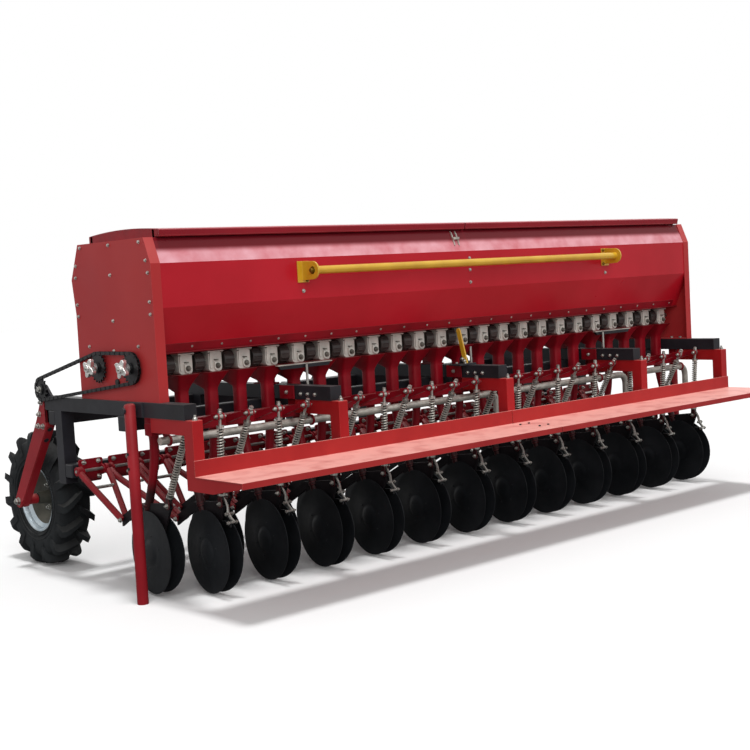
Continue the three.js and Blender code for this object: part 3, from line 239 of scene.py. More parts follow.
# ---- Materials ----
class Graph:
    """The shader nodes of a material or a world."""

    def __init__(self, owner):
        owner.use_nodes = True
        self.tree = owner.node_tree

    def feed(self, node, values):
        """Gives each input named a value, or the output of another node."""
        for name, value in values.items():
            if isinstance(value, bpy.types.NodeSocket):
                self.tree.links.new(value, node.inputs[name])
            else:
                node.inputs[name].default_value = value

    def add(self, kind, values, output=0, **settings):
        """Adds a node and gives its output."""
        node = self.tree.nodes.new("ShaderNode" + kind)
        for setting, value in settings.items():
            setattr(node, setting, value)
        self.feed(node, values)
        return node.outputs[output]

    def maths(self, operation, a, b):
        return self.add("Math", {0: a, 1: b}, operation=operation)

    def remap(self, value, low, high, to_low=0.0, to_high=1.0, **settings):
        limits = {"From Min": low, "From Max": high, "To Min": to_low, "To Max": to_high}
        return self.add("MapRange", {"Value": value, **limits}, **settings)

    def blend(self, share, a, b):
        return self.add("Mix", {"Factor": share, "A": a, "B": b}, "Result", data_type="RGBA")


def linear(hex_colour):
    values = [int(hex_colour[i : i + 2], 16) / 255 for i in (1, 3, 5)]
    return (*((v / 12.92 if v <= 0.04045 else ((v + 0.055) / 1.055) ** 2.4) for v in values), 1.0)


def finish_of(name, dark, light, rough, metal=0.0, coat=0.0, patch=2.5, grain=180.0, bump=0.08,
              worn=None, dust_and_sheen=None, dust_and_sheen_weight=0.3, full=0.95, specular=0.5, painted_shade_band=None):
    """Two close tones in soft patches, under a fine grain.

    worn is the tone where edges are worn. The next tone lies on faces that look up, as dust and as a
    painted sheen: the weight after it says how much, and full how far a face has to look up to hold it all.
    The last argument gives two heights and the tone of a painted shade, which takes over from the first
    height to the second.
    """
    material = bpy.data.materials.new(name)
    graph = Graph(material)
    place = graph.add("TexCoord", {}, "Object")
    normal = graph.add("NewGeometry", {}, "Normal")

    def noise(scale, detail):
        return graph.add("TexNoise", {"Vector": place, "Scale": scale, "Detail": detail, "Roughness": 0.55})

    def height_of(vector):
        return graph.add("SeparateXYZ", {"Vector": vector}, "Z")

    colour = graph.add("ValToRGB", {"Fac": noise(patch, 5)})
    for stop, position, tone in zip(colour.node.color_ramp.elements, (0.35, 0.65), (dark, light)):
        stop.position = position
        stop.color = linear(tone)
    # Painted shade: a darker tone takes over between the two heights.
    if painted_shade_band:
        low, high, tone = painted_shade_band
        height = height_of(graph.add("NewGeometry", {}, "Position"))
        shade = graph.remap(height, low, high, interpolation_type="SMOOTHSTEP")
        colour = graph.blend(graph.maths("MULTIPLY", shade, 0.9), colour, linear(tone))
    if dust_and_sheen:
        # Dust and a painted sheen gather in patches, and less of them lies under the painted shade.
        dust_and_sheen_cover = graph.maths("MULTIPLY", graph.remap(height_of(normal), 0.05, full), noise(9.0, 6))
        if painted_shade_band:
            dust_and_sheen_cover = graph.maths("MULTIPLY", dust_and_sheen_cover, graph.maths("SUBTRACT", 1.0, shade))
        colour = graph.blend(graph.maths("MULTIPLY", dust_and_sheen_cover, 2 * dust_and_sheen_weight), colour, linear(dust_and_sheen))
    if worn:
        # Rounded edges show where the bevelled normal leaves the face's own.
        rounded = graph.add("Bevel", {"Radius": 0.003}, samples=4)
        match = graph.add("VectorMath", {0: rounded, 1: normal}, "Value", operation="DOT_PRODUCT")
        chips = graph.maths("MULTIPLY", graph.remap(match, 0.97, 0.75), noise(60.0, 4))
        colour = graph.blend(chips, colour, linear(worn))
    graph.feed(graph.tree.nodes["Principled BSDF"], {
        "Base Color": colour, "Metallic": metal, "Specular IOR Level": specular,
        "Coat Weight": coat, "Coat Roughness": 0.12,
        "Roughness": graph.remap(noise(patch * 6, 4), 0.0, 1.0, rough * 0.8, min(1.0, rough * 1.25)),
        "Normal": graph.add("Bump", {"Strength": bump, "Distance": 0.001, "Height": noise(grain, 3)}),
    })
    return material


# The hopper's pink on faces that look up is dust and partly a painted sheen; its top darkens under the lids
# as painted shade.
RED = finish_of(
    "hopper_enamel", "#b61625", "#c81f2f", 0.30, coat=0.06, patch=1.6, grain=90, bump=0.03, worn="#d8606a",
    dust_and_sheen="#f6bcc6", dust_and_sheen_weight=0.72, full=0.42, specular=0.16, painted_shade_band=(1.418, 1.446, "#6a1721"))
# The lids take a darker copy of the hopper's red: painted shade, as their skirts show.
LID_RED = finish_of(
    "lid_enamel", "#931c29", "#a3222f", 0.28, coat=0.1, patch=1.6, grain=90, bump=0.03, worn="#e08c94",
    dust_and_sheen="#d98f94", dust_and_sheen_weight=0.3, specular=0.2)
FRAME_RED = finish_of(
    "frame_enamel", "#a01a1e", "#b12327", 0.34, coat=0.05, patch=2.4, grain=110, bump=0.04, worn="#d8665c",
    dust_and_sheen="#dc8a80", dust_and_sheen_weight=0.4, specular=0.16)
STAND_RED = finish_of(
    "stand_enamel", "#8d1821", "#a3202a", 0.38, patch=5, grain=120, bump=0.06, worn="#c86a66",
    dust_and_sheen="#c08078", specular=0.16)
# The footboard's pink top is dust and partly a painted sheen.
BOARD_RED = finish_of(
    "board_enamel", "#a22527", "#b3302f", 0.40, patch=3.0, grain=120, bump=0.08, worn="#e59a8d",
    dust_and_sheen="#f3b0a6", dust_and_sheen_weight=0.95, specular=0.2)
PANEL_RED = finish_of(
    "panel_enamel", "#b03134", "#bd3939", 0.40, patch=1.2, grain=90, bump=0.03, worn="#d0565c",
    dust_and_sheen="#d99a94", specular=0.16)
# The hopper's red made darker: painted shade for parts that sit low, inside or under others.
SHADED_RED = finish_of(
    "shaded_red_enamel", "#7d0c19", "#960f20", 0.40, patch=8, grain=140, bump=0.06, worn="#b8444c",
    dust_and_sheen="#b0706c", specular=0.2)
# Painted shade: the darkened red again, going to near black below the footboard, where the board shades it.
TUBE_RED = finish_of(
    "tube_enamel", "#7d0c19", "#960f20", 0.40, patch=8, grain=140, bump=0.06, worn="#b8444c", specular=0.2,
    painted_shade_band=(0.50, 0.43, "#1c1617"))
BLACK = finish_of(
    "black_enamel", "#1b1b1f", "#29292f", 0.42, patch=4, grain=160, bump=0.06, worn="#58585c",
    dust_and_sheen="#5c5957", specular=0.25)
YELLOW = finish_of(
    "yellow_enamel", "#cd9d1c", "#e0b32c", 0.30, coat=0.3, patch=6, grain=120, bump=0.04, worn="#efd27a")
BRASS = finish_of("yellow_zinc", "#6d5312", "#8d6e1c", 0.4, metal=0.6, patch=30, grain=260, bump=0.1)
ZINC = finish_of("zinc_plate", "#9d9c97", "#c2c1bb", 0.34, metal=0.9, patch=20, grain=300, bump=0.1)
SPRING = finish_of("spring_steel", "#a5a099", "#cac5bb", 0.38, metal=0.5, patch=25, grain=260, bump=0.1)
CAST = finish_of("cast_alloy", "#c4c0b8", "#dedad2", 0.52, metal=0.15, patch=14, grain=420, bump=0.35)
NUT_GREY = finish_of("dull_nuts", "#5a564f", "#77726a", 0.5, metal=0.4, patch=30, grain=260, bump=0.1)
POLISHED = finish_of("polished_alloy", "#d9d8d4", "#efeeea", 0.2, metal=0.85, patch=18, grain=300, bump=0.08)
ROLLER = finish_of("roller_plastic", "#231d1c", "#39302d", 0.5, patch=18, grain=200, bump=0.15)
DISC_STEEL = finish_of(
    "disc_steel", "#191b1e", "#25272a", 0.45, patch=7, grain=220, bump=0.06, worn="#33363a", specular=0.14)
BOOT = finish_of(
    "boot_enamel", "#151417", "#221d20", 0.5, patch=12, grain=180, bump=0.1, worn="#4a3a3c", specular=0.14)
RUBBER = finish_of(
    "tyre_rubber", "#1b1d1f", "#282b2d", 0.78, patch=9, grain=260, bump=0.5, dust_and_sheen="#5b5751", dust_and_sheen_weight=0.15,
    specular=0.2)
RIM = finish_of(
    "rim_enamel", "#b6c6cf", "#d2dde3", 0.33, metal=0.25, coat=0.1, patch=10, grain=160, bump=0.05,
    worn="#e4e9ec")
DULL = finish_of(
    "wheel_centre", "#393a35", "#55544c", 0.55, metal=0.2, patch=14, grain=200, bump=0.15, dust_and_sheen="#8a8272",
    specular=0.3)
CHAIN = finish_of("chain_steel", "#1d1d1f", "#303032", 0.42, metal=0.7, patch=40, grain=240, bump=0.15)


# ---- Pieces ----
def round_edges(obj, width, angle, harden):
    rounding = obj.modifiers.new("rounded_edges", "BEVEL")
    rounding.width = width
    rounding.segments = 2
    rounding.limit_method = "ANGLE"
    rounding.angle_limit = math.radians(angle)
    rounding.harden_normals = harden


def piece(name, shape, finish, stands_for=(), bevel=0.0, body="drill", smooth=35):
    mesh = bpy.data.meshes.new(name)
    mesh.from_pydata(shape.points, [], shape.faces)
    mesh.materials.append(finish)
    obj = bpy.data.objects.new(name, mesh)
    bpy.context.scene.collection.objects.link(obj)
    work = bmesh.new()
    work.from_mesh(mesh)
    bmesh.ops.recalc_face_normals(work, faces=work.faces)
    work.to_mesh(mesh)
    work.free()
    mesh.polygons.foreach_set("use_smooth", [True] * len(mesh.polygons))
    mesh.set_sharp_from_angle(angle=math.radians(smooth))
    if bevel:
        round_edges(obj, bevel, 40, True)
    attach(obj, body)
    if stands_for:
        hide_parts(*stands_for)


def dress(obj, finish, width):
    """A CAD node that stays: welded, with rounded edges and its finish."""
    obj.data.materials.clear()
    obj.data.materials.append(finish)
    obj.modifiers.new("weld", "WELD").merge_threshold = 0.00001
    round_edges(obj, width, 30, False)


# ---- CAD nodes that stay ----
def numbered(name, count):
    return [f"{name}_{i + 1}" for i in range(count)]


def both_sides(name):
    return [f"{name}_{word}" for word, _ in SIDES]


for finish, edge, names in (
    (BLACK, 0.004, numbered("frame_rail", 5)),
    (BLACK, 0.005, ["front_cross_beam", "rear_cross_beam", "opener_beam"]),
    (BLACK, 0.002, ["headstock"]),
    (FRAME_RED, 0.003, numbered("footboard_bracket", 5)),
    (RED, 0.001, ["hopper_rear_wall", "hopper_front_wall", "hopper_partition"]),
    (RED, 0.001, both_sides("hopper_divider")),
    (SHADED_RED, 0.001, ["hopper_floor", *numbered("hopper_stay", 3)]),
    (SHADED_RED, 0.002, ["rock_shaft"]),
    (PANEL_RED, 0.001, both_sides("end_panel")),
    (BOARD_RED, 0.0012, both_sides("footboard")),
):
    for name in names:
        dress(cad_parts[name], finish, edge)


# ---- Openers ----
def add_disc(shape, x, y, side):
    """One disc, domed over its hub, with six rivets round the dome."""
    tilt = side * DISC_HALF_ANGLE
    axis = Vector((math.cos(tilt), math.sin(tilt), 0)) * side
    away = DISC_RADIUS * math.sin(DISC_HALF_ANGLE) + DISC_HALF + DISC_GAP / 2
    centre = P(x + side * away, y, DISC_Z)
    profile = [(-DISC_HALF, 0.030), (-DISC_HALF, DISC_RADIUS - 0.001), (0.0, DISC_RADIUS),
               (DISC_HALF * 0.4, DISC_RADIUS), (DISC_HALF, DISC_RADIUS - 0.014), (DISC_HALF, 0.092)]
    profile += [(DISC_HALF + out, radius) for out, radius in (
        (0.0015, 0.088), (0.0015, 0.060), (0.003, 0.052), (0.007, 0.044), (0.010, 0.030), (0.011, 0.012))]
    turned(shape, centre, axis, profile, 44)
    for angle in angles_round(6, 0.3):
        spot = centre + swing(angle, *cross_frame(axis)) * 0.074
        turned(shape, spot + axis * DISC_HALF, axis, [(0, 0.005), (0.002, 0.0045), (0.003, 0.0028)], 8)


def boot_outline(kind, y):
    foot_y, foot_z = ROD_FEET[kind]
    return [
        (foot_y - 0.016, foot_z - 0.008), (y - 0.030, DISC_Z), (y + 0.026, DISC_Z - 0.020),
        (y + 0.104, DISC_Z + 0.158), (y + 0.241, 0.268), (y + 0.243, 0.312),
        (y + 0.110, DISC_Z + 0.196), (foot_y + 0.016, foot_z + 0.010),
    ]


def add_drag_arm(shape, x, y, side):
    """One bar of the pair that carries an opener, from its ear on the beam to the boot."""
    start = P(x + side * 0.070, BEAM_REAR - 0.030, BEAM_Z - 0.004)
    elbow = P(x + side * 0.062, BEAM_REAR - 0.075, BEAM_Z - 0.040)
    end = P(x + side * 0.012, y + 0.228, 0.300)
    tube(shape, bend([start, elbow, end], 0.03, 4), 0.0145)
    cylinder(shape, P(x + side * 0.070 - 0.013, BEAM_REAR - 0.026, BEAM_Z), RIGHT, 0.020, 0, 0.026, 14)


def add_clamp(bracket, bolts, x):
    """The bolted bracket that holds one opener on its beam."""
    front, back = BEAM_REAR - 0.001, BEAM_REAR - 0.010
    outline = []
    for across, up, start in ((-0.050, 0.038, 180), (0.050, 0.038, 90), (0.040, -0.044, 0),
                              (-0.040, -0.044, -90)):
        outline += arc((x + across, BEAM_Z + up), 0.010, start, start - 90, 3)
    prism(bracket, outline, "xz", back, front)
    for side in (-1, 1):
        ear = [(back, BEAM_Z + 0.020), (back, BEAM_Z - 0.030)]
        ear += arc((BEAM_REAR - 0.027, BEAM_Z - 0.006), 0.018, 250, 110, 6)
        plate(bracket, ear, x + side * 0.052, 0.004)
        for up in (-0.034, 0.034):
            bolt(bolts, P(x + side * 0.036, back, BEAM_Z + up), BACK, 0.0085, stud=0.010)
    tube(bolts, [P(x + across, BEAM_REAR - 0.026, BEAM_Z) for across in (-0.086, 0.086)], 0.007)


def add_spring_set(rods, cores, coils, forks, x, kind):
    """The spring rod that presses one opener down, from its lever above to the boot."""
    head_y, head_z = ROD_HEAD
    foot_y, foot_z = ROD_FEET[kind]
    pin_z = head_z + 0.002
    top, foot = P(x, head_y, head_z), P(x, foot_y, foot_z + 0.020)
    down = (foot - top).normalized()

    def at(share):
        return top.lerp(foot, share)

    tube(rods, [top - down * 0.034, at(0.12)], 0.0065)
    tube(cores, [at(0.12), at(0.6), foot], 0.0065)
    coil(coils, at(0.13), at(0.93), 0.0125, 0.0034, 0.0118)
    for share in (0.115, 0.945):
        cylinder(rods, at(share), down, 0.0165, -0.004, 0.004, 14)
    # Swivel block and nuts at the top, held between the lever's cheeks.
    for side in (-1, 1):
        outline = [(head_y + 0.040, head_z - 0.012), (head_y + 0.040, head_z + 0.014)]
        outline += arc((head_y, pin_z), 0.015, 100, 260, 6)
        plate(forks, outline, x + side * 0.0125, 0.0025)
        bolt(rods, P(x + side * 0.015, head_y, pin_z), (side, 0, 0), 0.0085, stud=0.006)
    cylinder(rods, P(x, head_y, pin_z), RIGHT, 0.012, -0.011, 0.011, 12)
    turned(rods, top - down * 0.014, -down, [(0, 0.0105), (0.009, 0.0105), (0.0105, 0.009)], 6)
    cylinder(rods, top - down * 0.026, -down, 0.0095, 0, 0.006, 6)
    # Fork at the foot, pinned to the boot.
    for side in (-1, 1):
        outline = arc((foot_y, foot_z - 0.002), 0.014, 200, 340, 6)
        outline += [(foot_y + 0.010, foot_z + 0.034), (foot_y - 0.010, foot_z + 0.034)]
        plate(forks, outline, x + side * 0.0095, 0.002)
        bolt(rods, P(x + side * 0.0115, foot_y, foot_z), (side, 0, 0), 0.008, stud=0.005)


def add_scraper(rods, blades, x, y):
    """A sprung arm behind the rear discs, with a blade between them."""
    path = [P(x + 0.006, y - 0.092, 0.425), P(x + 0.012, y - 0.118, 0.382),
            P(x + 0.004, y - 0.128, 0.352), P(x + 0.018, y - 0.146, 0.318)]
    tube(rods, bend(path, 0.016, 4), 0.0075, flat=0.7)
    block(blades, (x - 0.004, x + 0.004), (y - 0.150, y - 0.050), (0.300, 0.322))
    for z, back, half in ((0.352, 0.128, 0.012), (0.318, 0.146, 0.017)):
        middle = P(x + 0.008, y - back, z)
        out = Vector((half, 0, 0))
        cylinder(rods, middle, RIGHT, 0.005, -half, half, 8)
        bolt(rods, middle + out, RIGHT, 0.0075, stud=0.006)
        bolt(rods, middle - out, LEFT, 0.0065)


def add_seed_tube(shape, x, y):
    """The tube from a funnel to its boot, bowed on the way, with a collar near each end."""
    top, foot = P(x, 0.150, 0.722), P(x, y + 0.040, DISC_Z + 0.155)
    bow = -0.035 if y > 0.1 else 0.020
    steps = 12
    path = []
    for i in range(steps + 1):
        share = i / steps
        point = top.lerp(foot, share)
        point.y += bow * math.sin(math.pi * share) * (1 - share * 0.4)
        path.append(point)
    radii = [0.0225 if i < 2 else 0.0205 - 0.0035 * i / steps for i in range(steps + 1)]
    tube(shape, path, radii, 14)
    for share in (0.10, 0.90):
        cylinder(shape, top.lerp(foot, share), foot - top, 0.0225, -0.006, 0.006, 14)


def build_openers():
    discs, arms, rods, cores, coils, forks, boots, tubes, clamps, clamp_bolts, blades = shapes(11)
    for row in range(ROWS):
        x = row_x(row)
        kind, y = ("rear", 0.0) if row % 2 else ("front", ROW_STAGGER)
        for side in (-1, 1):
            add_disc(discs, x, y, side)
            add_drag_arm(arms, x, y, side)
        plate(boots, boot_outline(kind, y), x, 0.0055)
        cylinder(boots, P(x, y, DISC_Z), RIGHT, 0.034, -0.0075, 0.0075, 18)
        # A spacer holds the pair of drag arms apart, and a bolt on each side holds them to the boot.
        tube(rods, [P(x + across, BEAM_REAR - 0.120, 0.432) for across in (-0.0432, 0.0432)], 0.0075)
        bolt(rods, P(x + 0.024, y + 0.222, 0.300), RIGHT, 0.009, stud=0.008)
        bolt(rods, P(x - 0.024, y + 0.222, 0.300), LEFT, 0.009)
        add_clamp(clamps, clamp_bolts, x)
        add_spring_set(rods, cores, coils, forks, x, kind)
        add_seed_tube(tubes, x, y)
        if kind == "rear":
            add_scraper(rods, blades, x, y)
    piece("opener_discs", discs, DISC_STEEL, PAIRS)
    piece("opener_boots", boots, BOOT, bevel=0.001)
    piece("scraper_blades", blades, CHAIN, bevel=0.001)
    piece("drag_arms", arms, SHADED_RED)
    piece("opener_clamps", clamps, TUBE_RED, bevel=0.001)
    piece("clamp_bolts", clamp_bolts, ZINC)
    piece("spring_rods", rods, ZINC)
    piece("spring_cores", cores, CHAIN)
    piece("pressure_springs", coils, SPRING)
    piece("rod_forks", forks, TUBE_RED)
    piece("seed_tubes", tubes, TUBE_RED)


# ---- Metering ----
SHAFT_END = 1.849


def add_housing(shape, nuts, x, y, back):
    """One cast housing: a flanged box, with a lip and a lock nut on the side that back points to."""
    half, depth, foot_z = 0.034, 0.028, 0.950
    face = y + back * depth
    outline = [(x - half, METER_TOP), (x - half, foot_z)]
    outline += arc((x - 0.018, 0.936), 0.016, 180, 270, 4) + arc((x + 0.018, 0.936), 0.016, 270, 360, 4)
    outline += [(x + half, foot_z), (x + half, METER_TOP)]
    prism(shape, outline, "xz", y - depth, y + depth)
    block(shape, (x - 0.040, x + 0.040), (y - 0.036, y + 0.036), (METER_TOP - 0.006, METER_TOP))
    lip = arc((x + 0.006, 0.940), 0.016, 180, 360, 8) + [(x + 0.022, 0.962), (x - 0.010, 0.962)]
    prism(shape, lip, "xz", face, face + back * 0.009)
    block(shape, (x - 0.030, x - 0.022), (face, face + back * 0.006), (0.935, 0.998))
    bolt(nuts, P(x + 0.006, face + back * 0.009, 0.944), (0, back, 0), 0.010, stud=0.004)
    block(nuts, (x - 0.008, x + 0.006), (face, face + back * 0.016), (0.968, 0.972))


def add_roller(shape, x, y):
    """The fluted roller between two housings, dished on both faces."""
    profile = [(0.045, 0.016), (0.047, 0.030), (0.043, 0.033), (0.043, 0.0395), (0.048, 0.0405),
               (0.088, 0.0405), (0.093, 0.0395), (0.093, 0.033), (0.089, 0.030), (0.091, 0.016)]
    turned(shape, P(x, y, METER_Z), RIGHT, profile, 28)
    for angle in angles_round(14):
        spot = P(x + 0.049, y + 0.0400 * math.cos(angle), METER_Z + 0.0400 * math.sin(angle))
        cylinder(shape, spot, RIGHT, 0.0032, 0, 0.038, 6)


def build_metering():
    castings, nuts, rollers, shafts = shapes(4)
    for y, back in zip(METER_ROWS, (-1, 1)):
        for row in range(-1, ROWS):
            x = row_x(row)
            if x + 0.100 < PANEL_X and x + 0.040 > -PANEL_X:
                add_roller(rollers, x, y)
                cylinder(shafts, P(x + 0.095, y, METER_Z), RIGHT, 0.019, 0, 0.012, 16)
                bolt(shafts, P(x + 0.101, y, METER_Z + 0.018), UP, 0.006, washer=False)
        tube(shafts, [P(-SHAFT_END, y, METER_Z), P(SHAFT_END, y, METER_Z)], 0.0105, 12)
        for row in range(ROWS):
            x = row_x(row)
            add_housing(castings, nuts, x, y, back)
            for across in (-0.032, 0.032):
                bolt(nuts, P(x + across, y + back * 0.032, METER_TOP - 0.006), DOWN, 0.005, washer=False)
    piece("metering_housings", castings, CAST,
          ["metering_bank_rear", "metering_bank_front"], bevel=0.0015)
    piece("metering_nuts", nuts, NUT_GREY)
    piece("metering_rollers", rollers, ROLLER)
    piece("metering_shafts", shafts, ZINC)


# ---- Funnels ----
FUNNEL_TOP, FUNNEL_FOOT = 0.9195, 0.7205
FUNNEL_CURVE = 0.074375  # how far down from its top a funnel narrows


def funnel_ring(z):
    """The outline at one height, on its way from the oblong mouth to the square spout."""
    left = max(0.0, 1 - (FUNNEL_TOP - z) / FUNNEL_CURVE)
    ease = 1 - left**1.3
    corner = 0.008 + 0.006 * ease
    across = mix(0.055, 0.0255, ease) - corner
    rear = mix(0.078, 0.1245, ease) + corner
    front = mix(0.425, 0.1755, 1 - left**1.15) - corner
    outline = []
    for x, y, start in ((across, front, 0), (-across, front, 90), (-across, rear, 180), (across, rear, 270)):
        outline += arc((x, y), corner, start, start + 90, 4)
    return outline


def build_funnels():
    shape = Shape()
    levels = 16
    heights = [mix(FUNNEL_TOP, FUNNEL_FOOT, level / levels) for level in range(levels + 1)]
    rings = [(z, funnel_ring(z)) for z in heights]
    for row in range(ROWS):
        points = [P(row_x(row) + x, y, z) for z, ring in rings for x, y in ring]
        shape.add(points, rings_to_faces(len(rings), len(rings[0][1])))
    # The strip that joins the mouths along their front edge.
    strip_end = 1.802
    block(shape, (-strip_end, strip_end), (0.400, 0.430), (0.9077, 0.9197))
    piece("funnels", shape, SHADED_RED, ["seed_funnels"])


# ---- Wheels ----
RIM_RADIUS = 0.154
LUGS = 15


def mirror(profile):
    return [(-along, radius) for along, radius in reversed(profile)]


def tyre(x):
    shape = Shape()
    body, half, inner = TYRE_RADIUS - 0.038, TYRE_HALF - 0.004, RIM_RADIUS - 0.004
    wall = [(0.052, inner), (0.060, inner + 0.006), (0.066, inner + 0.016), (half * 0.97, inner + 0.045),
            (half, body - 0.070), (half * 0.985, body - 0.040), (half * 0.93, body - 0.018),
            (half * 0.78, body - 0.005), (half * 0.4, body + 0.001)]
    centre = P(x, WHEEL_Y, TYRE_RADIUS)
    turned(shape, centre, RIGHT, [*wall, (0.0, body + 0.002), *mirror(wall)], 72, closed=True)
    # Two ribs moulded round each wall.
    for ring, out in ((body - 0.085, 0.0012), (body - 0.105, 0.0010)):
        rib = [(-0.003, ring - 0.004), (out, ring - 0.002), (out, ring + 0.002), (-0.003, ring + 0.004)]
        for way in (-1, 1):
            turned(shape, centre + Vector((way * (half - 0.001), 0, 0)), (way, 0, 0), rib, 72, closed=True)
    # Lugs lean back from the middle to each shoulder, left and right by turns. Each station holds its
    # share of the half width, and the lug's top and root there.
    stations = ((-0.10, TYRE_RADIUS, body - 0.01), (0.25, TYRE_RADIUS - 0.0005, body - 0.01),
                (0.60, TYRE_RADIUS - 0.003, body - 0.012), (0.88, TYRE_RADIUS - 0.009, body - 0.025),
                (1.04, TYRE_RADIUS - 0.024, body - 0.050), (1.03, TYRE_RADIUS - 0.060, body - 0.070))
    for way in (-1, 1):
        for base in angles_round(LUGS, -way * math.pi / 2 / LUGS):
            points = []
            for share, top, root in stations:
                width = 0.036 + 0.016 * share
                for radius, spread in ((root, 1.5), (top, 1.0), (top, -1.0), (root, -1.5)):
                    angle = base + 0.20 * share + spread * width
                    points.append(centre + swing(angle, Vector(AHEAD), Vector(UP)) * radius
                                  + Vector((way * share * half, 0, 0)))
            shape.add(points, rings_to_faces(len(stations), 4))
    return shape


def rim(x, side):
    """A pressed rim: hooked flanges, a dropped middle, and a dished disc with its hub."""
    barrel, middle, trim = shapes(3)
    centre = P(x, WHEEL_Y, TYRE_RADIUS)
    out = Vector((side, 0, 0))
    r = RIM_RADIUS
    outside = [(0.026, r - 0.024), (0.040, r - 0.006), (0.057, r - 0.003), (0.061, r + 0.005),
               (0.066, r + 0.004)]
    inside = [(0.066, r - 0.002), (0.058, r - 0.008), (0.042, r - 0.011), (0.028, r - 0.029)]
    turned(barrel, centre, RIGHT, [*mirror(outside), *outside, *inside, *mirror(inside)], 64, closed=True)
    dish = [(0.030, r - 0.028), (0.024, 0.118), (0.018, 0.108), (-0.006, 0.092), (-0.010, 0.080),
            (-0.010, 0.030), (-0.015, 0.030), (-0.015, 0.084), (-0.011, 0.096), (0.013, 0.112),
            (0.019, 0.122), (0.025, r - 0.028)]
    turned(middle, centre, out, dish, 48, closed=True)
    hub = [(-0.060, 0.0165), (-0.060, 0.030), (-0.012, 0.033), (0.004, 0.033), (0.020, 0.030),
           (0.060, 0.028), (0.060, 0.0165)]
    turned(middle, centre, out, hub, 28, closed=True)
    for angle in angles_round(5):
        spot = centre + swing(angle, Vector(AHEAD), Vector(UP)) * 0.057
        bolt(trim, spot - out * 0.010, out, 0.011, stud=0.008)
        bolt(trim, spot - out * 0.015, -out, 0.010)
    valve = centre + swing(0.6, Vector(AHEAD), Vector(UP)) * (r - 0.034)
    tube(trim, [valve + out * 0.020, valve + out * 0.044], [0.004, 0.003])
    return barrel, middle, trim


def build_wheels():
    for word, side in SIDES:
        body = f"wheel_{word}"
        barrel, middle, trim = rim(side * WHEEL_X, side)
        piece(f"lugged_tyre_{word}", tyre(side * WHEEL_X), RUBBER, [f"tyre_{word}"],
              body=body, smooth=50)
        piece(f"pressed_rim_{word}", barrel, RIM, [f"rim_{word}"], body=body, smooth=40)
        piece(f"wheel_centre_{word}", middle, DULL, body=body, smooth=40)
        piece(f"wheel_nuts_{word}", trim, ZINC, body=body)


# ---- Wheel arms ----
def inset(outline, by):
    """An outline moved inwards: each corner goes along the middle of its two edges' normals."""
    corners = [Vector(p) for p in outline]
    area = sum(a.x * b.y - b.x * a.y for a, b in zip(corners, corners[1:] + corners[:1]))
    turn = 1 if area > 0 else -1
    moved = []
    for before, corner, after in zip(corners[-1:] + corners, corners, corners[1:] + corners[:1]):
        a = (corner - before).normalized()
        b = (after - corner).normalized()
        normal = (Vector((-(a.y + b.y), a.x + b.x)) * turn).normalized()
        lean = max(0.4, abs(normal.dot(Vector((-a.y, a.x)))))
        moved.append(tuple(corner + normal * (by / lean)))
    return moved


def build_wheel_arms():
    """A pressed channel from each outer rail's front end down to the axle."""
    wall, depth, foot = 0.006, 0.044, 0.031
    top_z = RAIL_TOP - 0.004
    hub_out, hub_in = WHEEL_X + 0.063, WHEEL_X - 0.063
    for word, side in SIDES:
        arm, steel, holes = shapes(3)
        face, back_face = side * OUTER_FACE_X, side * (OUTER_FACE_X - wall)
        knee = (ARM_ROOT, RAIL_BOTTOM - 0.075)
        outline = [(ARM_ROOT, top_z), knee] + arc((WHEEL_Y, TYRE_RADIUS), foot, 211, 391, 10)
        outline += [(ARM_ROOT + 0.092, RAIL_BOTTOM - 0.050), (ARM_ROOT + 0.034, top_z)]
        prism(arm, outline, "yz", *sorted((face, back_face)))
        inner = inset(outline, wall)
        flange = sorted((back_face, face - side * depth))
        for i in range(len(outline) - 1):
            prism(arm, [outline[i], outline[i + 1], inner[i + 1], inner[i]], "yz", *flange)
        block(arm, (face, face - side * 0.060), (ARM_ROOT, ARM_ROOT + 0.008), (RAIL_BOTTOM - 0.060, top_z))
        # Two holes in the flange that faces back, below the rail, drawn as black discs: painted shade in the
        # holes.
        down = (P(0, *outline[2]) - P(0, *knee)).normalized()
        for run in (0.022, 0.088):
            spot = P(face - side * 0.023, *knee) + down * run
            cylinder(holes, spot, (0, down.z, -down.y), 0.012, -0.002, 0.0008, 18)
        centre = P(0, WHEEL_Y, TYRE_RADIUS)
        out = Vector((side, 0, 0))
        axle = [(hub_in - 0.018, 0.013), (hub_in - 0.016, 0.015), (OUTER_FACE_X, 0.015)]
        turned(steel, centre, out, axle, 20)
        cylinder(steel, centre, out, 0.022, hub_in - 0.012, hub_in, 6)
        bolt(steel, centre + out * OUTER_FACE_X, out, 0.016, stud=0.006)
        cylinder(arm, centre, out, 0.024, hub_out, OUTER_FACE_X - wall, 24)
        piece(f"wheel_arm_channel_{word}", arm, STAND_RED, [f"wheel_arm_{word}"], bevel=0.0012)
        piece(f"wheel_axle_{word}", steel, ZINC)
        piece(f"wheel_arm_holes_{word}", holes, BLACK)


# ---- Chain drives ----
CHAIN_X = 1.822
CHAIN_PITCH = 0.01905
METER_SPROCKETS = [(y, METER_Z, 20) for y in METER_ROWS]  # y, z, teeth
STUB_SPROCKET = (0.908, 0.861, 16)  # the same, on a stub of the outer rail
STUB_NUT_X = 1.832
HAND_WHEEL_X, HAND_WHEEL_THICK = 1.853, 0.019
SHAFT_COLLAR_X = 1.834
SHAFT_NUT_X = 1.8795
PANEL_BOSS = (1.8065, 0.262, 0.905)  # a round boss on the end panel


def pitch_radius(teeth):
    return CHAIN_PITCH / 2 / math.sin(math.pi / teeth)


